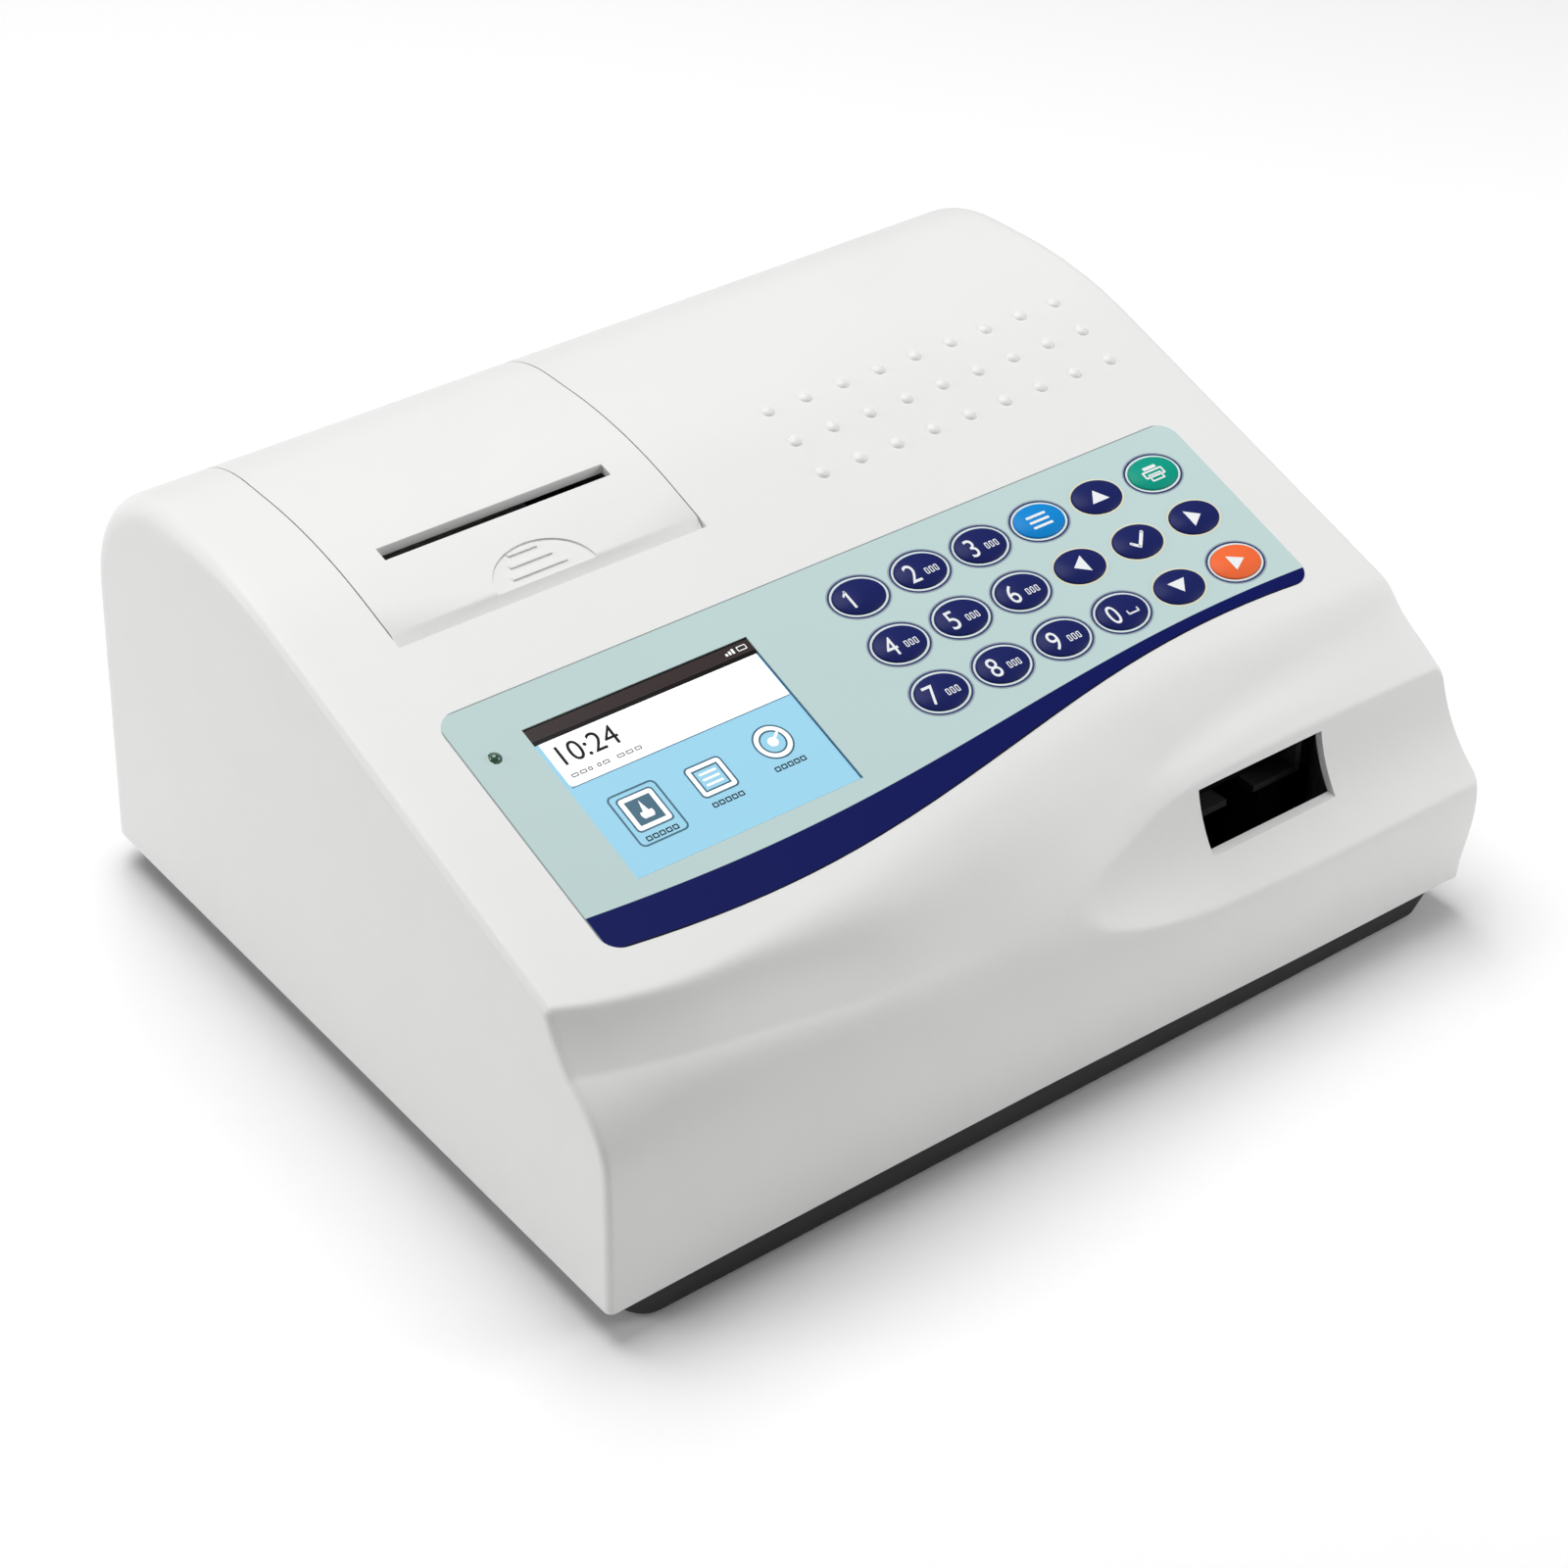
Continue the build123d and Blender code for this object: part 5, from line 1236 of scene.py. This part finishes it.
@dataclass(frozen=True)
class Key:
    """One oval key with its printed sign."""
    name: str
    column: int
    row: int
    finish: Finish = KEY_NAVY
    ringed: bool = True
    pitch_u: float = 20.93
    pitch_v: float = 18.42
    top: float = 0.6

    @property
    def u(self) -> float:
        """u of the key's middle."""
        return self.column * self.pitch_u

    @property
    def v(self) -> float:
        """v of the key's middle."""
        return -self.row * self.pitch_v

    def sign(self) -> FlatArt:
        """The sign on the key: a digit with small marks, an arrow or a pictogram.

        Returns:
            The sign's shapes.
        """
        art, u, v = FlatArt(), self.u, self.v
        if self.name.isdigit():
            art.digits(self.name, u - 3.1, v, 6.3, 0.86)
            if self.name == "1":
                art.line([(u - 3.0, v + 2.8), (u - 4.2, v + 1.5)], 0.6)
            if self.name == "0":
                art.line([(u + 1.2, v - 0.6), (u + 1.2, v - 1.7), (u + 4.6, v - 1.7),
                          (u + 4.6, v - 0.6)], 0.5)
            elif self.name != "1":
                for step in range(3):
                    art.frame(u + 0.9 + 1.55 * step, u + 2.0 + 1.55 * step,
                              v - 2.1, v + 0.1, 0.3, 0.3)
        elif self.name in ARROWS:
            tip = np.array(ARROWS[self.name], float)
            side = np.array([-tip[1], tip[0]])
            back, wide = -tip * 2.0, side * 3.0
            art.polygon([tip * 2.3 + (u, v), back + wide + (u, v), back - wide + (u, v)])
        elif self.name == "menu":
            for level in (-1.9, 0.0, 1.9):
                art.rectangle(u - 3.4, u + 3.4, v + level - 0.42, v + level + 0.42, 0.3)
        elif self.name == "print":
            art.frame(u - 3.6, u + 3.6, v - 1.5, v + 1.2, 0.5, 0.6)
            art.frame(u - 2.3, u + 2.3, v - 2.9, v - 0.2, 0.2, 0.5)
            art.rectangle(u - 2.3, u + 2.3, v + 1.5, v + 2.6, 0.2)
        elif self.name == "start":
            art.polygon([(u + 2.9, v), (u - 1.9, v + 2.7), (u - 1.9, v - 2.7)])
        elif self.name == "ok":
            art.line([(u - 2.6, v - 0.2), (u - 0.8, v - 2.0), (u + 3.0, v + 2.2)], 1.05)
        return art

    def dress(self) -> None:
        """Crowned cap and its sign, both on the key's own body."""
        body = BODY_OF[f"key_{self.name}"]
        cap = smooth_copy(f"key_{self.name}", self.finish, 50.0)
        self.sign().place(f"sign_{self.name}", self.top + HAIR, INK_WHITE, body)


ARROWS = {"up": (0, 1), "down": (0, -1), "left": (-1, 0), "right": (1, 0)}
KEY_LAYOUT = (("1", "2", "3", "menu", "up", "print"), ("4", "5", "6", "left", "ok", "right"),
              ("7", "8", "9", "0", "down", "start"))
KEY_COLOURS = {"menu": KEY_BLUE, "print": KEY_GREEN, "start": KEY_ORANGE}
KEYS = tuple(Key(name, column, row, KEY_COLOURS.get(name, KEY_NAVY),
                 name not in (*ARROWS, "ok"))
             for row, names in enumerate(KEY_LAYOUT) for column, name in enumerate(names))


@dataclass(frozen=True)
class Screen:
    """Lit picture under the pane: bar, clock band and three round-cornered icons."""
    left: float = -105.9
    top: float = 2.19
    width: float = 70.08
    height: float = 52.56
    level: float = -0.36
    bar: float = 0.105          # shares of the height, down from the top
    clock: float = 0.215
    band: float = 0.40
    icon_places: tuple[tuple[float, float], ...] = ((0.20, 0.68), (0.50, 0.66), (0.80, 0.62))
    date_marks: tuple[tuple[float, float], ...] = (
        (3.5, 5.4), (6.0, 7.9), (8.5, 9.6), (11.2, 12.3), (12.9, 14.8), (17.3, 19.4),
        (20.0, 22.0), (22.7, 24.6))

    def at(self, share_u: float, share_v: float) -> tuple[float, float]:
        """u, v at a share of the screen's width and of its height, down from the top."""
        return self.left + share_u * self.width, self.top - share_v * self.height

    def layer(self, order: float) -> float:
        """Height of a colour that lies this many layers up."""
        return self.level + order * HAIR

    def dress(self) -> None:
        """Paint the picture from back to front, each colour a hair higher."""
        u0, v1 = self.at(0, 0)
        u1, v0 = self.at(1, 1)
        bar_v, band_v = self.at(0, self.bar)[1], self.at(0, self.band)[1]
        FlatArt().rectangle(u0, u1, v0, v1).place("picture_field", self.layer(0), SCREEN_SKY)
        FlatArt().rectangle(u0, u1, bar_v, v1).place("picture_bar", self.layer(1), SCREEN_BAR)
        dark = FlatArt().rectangle(u0, u1, bar_v - 0.25, bar_v + 1.1)
        dark.rectangle(u0, u1, v1 - 0.5, v1)
        dark.place("picture_bar_shade", self.layer(2), SCREEN_BLACK)
        turn = np.linspace(0.2, pi / 2, 6)
        corner = np.stack([u0 + 2.7 - 1.4 * np.cos(turn), band_v + 1.4 - 1.4 * np.sin(turn)], 1)
        white = FlatArt().polygon([(u0 + 1.3, band_v + 1.4), *corner, (u1 - 0.7, band_v),
                                   (u1 - 0.7, bar_v - 0.25), (u0 + 1.3, bar_v - 0.25)])
        self.icons(white)
        edge = FlatArt().rectangle(u0, u1, v0, v0 + 0.25).rectangle(u1 - 0.5, u1, v0, bar_v)
        edge.rectangle(u0 + 1.3, u1 - 0.7, band_v - 0.22, band_v)
        edge.place("picture_edge", self.layer(2), SCREEN_EDGE)
        self.marks(u0, band_v)
        status = FlatArt().frame(u1 - 4.5, u1 - 1.6, v1 - 3.2, v1 - 1.6, 0.2, 0.25)
        for step, tall in enumerate((0.8, 1.2, 1.6)):
            status.rectangle(u1 - 8.4 + 1.1 * step, u1 - 7.7 + 1.1 * step, v1 - 3.2,
                             v1 - 3.2 + tall)
        status.place("picture_status", self.layer(3), SCREEN_WHITE)

    def marks(self, left: float, low: float) -> None:
        """The time, the small marks under it and those under each icon.

        Args:
            left: u of the screen's left edge.
            low: v of the clock band's lower edge.
        """
        ink = FlatArt().digits("10:24", left + 12.8, self.at(0, self.clock)[1], 6.4, 0.95)
        for start, stop in self.date_marks:
            ink.frame(left + start, left + stop, low + 2.5, low + 3.6, 0.2, 0.24)
        for u, v in (self.at(*place) for place in self.icon_places):
            for step in range(5):
                ink.frame(u - 4.9 + 2.0 * step, u - 3.3 + 2.0 * step, v - 8.2, v - 6.7, 0.2, 0.3)
        ink.place("picture_ink", self.layer(3), SCREEN_BLACK)

    def icons(self, white: FlatArt) -> None:
        """Three icons, a droplet, a list and a dial, each white with a slate outline.

        Args:
            white: the white shapes, which also hold the clock band.
        """
        slate = FlatArt()
        (u, v), (s, t), (c, d) = (self.at(*place) for place in self.icon_places)
        slate.frame(u - 7.4, u + 7.4, v - 9.4, v + 8.0, 1.8, 0.55)
        slate.rectangle(u - 5.6, u + 5.6, v - 5.2, v + 6.4, 1.3)
        white.frame(u - 5.1, u + 5.1, v - 4.7, v + 5.9, 1.0, 1.3)
        turn = np.linspace(-0.25 * pi, 1.25 * pi, 24)
        drop = np.stack([u + 1.9 * np.cos(turn), v - 0.6 + 1.9 * np.sin(turn)], 1)
        white.polygon([*drop[drop[:, 1] < v + 0.4], (u, v + 3.8)])
        slate.frame(s - 5.7, s + 5.7, t - 4.9, t + 5.7, 1.5, 2.2)
        white.frame(s - 5.2, s + 5.2, t - 4.4, t + 5.2, 1.1, 1.2)
        for level in (2.2, 0.4, -1.4):
            white.rectangle(s - 2.6, s + 2.6, t + level - 0.35, t + level + 0.35, 0.2)
        slate.ring(c, d + 0.5, 5.6, 5.6, 2.3)
        white.ring(c, d + 0.5, 5.1, 5.1, 1.3)
        white.disc(c, d + 0.5, 1.5).line([(c, d + 0.5), (c + 2.6, d + 2.6)], 0.8)
        slate.place("picture_outlines", self.layer(1.5), SCREEN_SLATE)
        white.place("picture_white", self.layer(2), SCREEN_WHITE)


# ------------------------------------------------------------------ everything else
@dataclass(frozen=True)
class DressedNodes:
    """CAD nodes whose shape is right: smooth copies with their finishes."""
    finishes: tuple[tuple[str, Finish, str], ...] = (
        ("printer_cover", COVER_WHITE, "white_shell"), ("base_pan", BASE_BLACK, "base_black"),
        ("rubber_feet", RUBBER, "rubber"), ("case_screws", STEEL, "steel"),
        ("display_module", BLACK_PLASTIC, "display_glass"),
        ("display_pane", PANE, "clear_pane"),
        ("display_board", BOARD_GREEN, "circuit_board"),
        ("keypad_board", BOARD_GREEN, "circuit_board"),
        ("keypad_switches", BLACK_PLASTIC, "black_plastic"), ("board_screws", STEEL, "steel"),
        ("status_led", LENS_GREEN, "lamp_lens"), ("hinge_pins", STEEL, "steel"),
        ("paper_bay", GREY_PLASTIC, "grey_plastic"), ("paper_roll", PAPER, "paper"),
        ("paper_spindle", BLACK_PLASTIC, "black_plastic"), ("print_frame", STEEL, "steel"),
        ("print_head", ALUMINIUM, "aluminium"), ("head_springs", STEEL, "steel"),
        ("print_motor", STEEL, "steel"), ("platen_shaft", STEEL, "steel"),
        ("platen_roller", RUBBER, "rubber"), ("platen_gear", ACETAL, "gear_plastic"),
        ("idler_gear", ACETAL, "gear_plastic"), ("print_motor_pinion", BRASS, "brass"),
        ("release_lever", LEVER_BLUE, "lever_plastic"),
        ("transport_frame", BLACK_PLASTIC, "grey_plastic"),
        ("strip_tray", TRAY_BLACK_AND_SHADE, "tray_plastic"),
        ("strip_carrier", CARRIER_BLACK_AND_SHADE, "carrier_plastic"),
        ("tray_pinion", ACETAL, "gear_plastic"), ("tray_motor", MOTOR_BLACK, "motor_black"),
        ("optics_head", BLACK_PLASTIC, "black_plastic"),
        ("optics_board", BOARD_GREEN, "circuit_board"),
        ("main_board", BOARD_GREEN, "circuit_board"),
        ("power_board", BOARD_TAN, "power_circuit_board"),
        ("power_inlet", BLACK_PLASTIC, "black_plastic"),
        ("switch_housing", BLACK_PLASTIC, "black_plastic"),
        ("power_rocker", BLACK_PLASTIC, "black_plastic"),
        ("serial_port", NICKEL, "connector_metal"), ("jack_screws", STEEL, "steel"),
        ("usb_port", NICKEL, "connector_metal"),
    )

    def dress(self) -> None:
        """Copy, shade and finish every listed node."""
        for name, finish, slot in self.finishes:
            smooth_copy(name, finish)


@dataclass(frozen=True)
class Studio:
    """Camera at the photograph's angle, soft lights and a pale floor."""
    camera_place: tuple[float, float, float] = (-480.52, -634.15, 614.76)
    azimuth: float = 37.16
    elevation: float = 36.07
    lens: float = 79.74
    sensor: float = 36.0
    ambient: float = 0.15
    floor_reach: float = 6.0
    aim: tuple[float, float, float] = (0.0, 0.0, 0.05)
    lamps: tuple[tuple[str, tuple[float, float, float], float, float], ...] = (
        ("overhead", (-0.05, 0.42, 1.6), 1.3, 23.5),
        ("left", (-1.7, 0.9, 0.8), 1.0, 12.0),
        ("front_right", (0.75, -0.55, 0.4), 0.5, 3.2),
    )

    def build(self) -> None:
        """Set up camera, floor, world and lights."""
        camera = bpy.data.cameras.new("camera")
        camera.lens = self.lens
        camera.sensor_width = camera.sensor_height = self.sensor
        camera.clip_end = 20.0
        holder = bpy.data.objects.new("camera", camera)
        holder.location = np.array(self.camera_place) * MM
        holder.rotation_euler = (radians(90 - self.elevation), 0.0, -radians(self.azimuth))
        bpy.context.scene.collection.objects.link(holder)
        bpy.context.scene.camera = holder
        self.floor()
        world = bpy.data.worlds.new("studio")
        bpy.context.scene.world = world
        world.use_nodes = True
        sky = next(n for n in world.node_tree.nodes if n.type == "BACKGROUND")
        sky.inputs["Color"].default_value = (1.0, 1.0, 1.0, 1.0)
        sky.inputs["Strength"].default_value = self.ambient
        for lamp in self.lamps:
            self.light(*lamp)
        bpy.context.scene.view_settings.view_transform = "Standard"

    def floor(self) -> None:
        """A wide flat square at height 0."""
        size = self.floor_reach
        mesh = bpy.data.meshes.new("floor")
        mesh.from_pydata([(-size, -size, 0), (size, -size, 0), (size, size, 0),
                          (-size, size, 0)], [], [(0, 1, 2, 3)])
        mesh.materials.append(FLOOR_PALE.build())
        floor = bpy.data.objects.new("floor", mesh)
        bpy.context.scene.collection.objects.link(floor)

    def light(self, name: str, place: Sequence[float], size: float, power: float) -> None:
        """Square area light that looks at the studio's aim.

        Args:
            name: name of the light.
            place: where it stands, in metres.
            size: side of the square.
            power: watts.
        """
        lamp = bpy.data.lights.new(name, "AREA")
        lamp.size, lamp.energy = size, power
        holder = bpy.data.objects.new(name, lamp)
        holder.location = place
        away = Vector(self.aim) - Vector(place)
        holder.rotation_euler = away.to_track_quat("-Z", "Y").to_euler()
        bpy.context.scene.collection.objects.link(holder)


def main() -> None:
    """Build the parts in order."""
    Studio().build()
    Shell().dress()
    Bumps().dress()
    Overlay().dress()
    for key in KEYS:
        key.dress()
    Screen().dress()
    DressedNodes().dress()


if __name__ == "__main__":
    main()
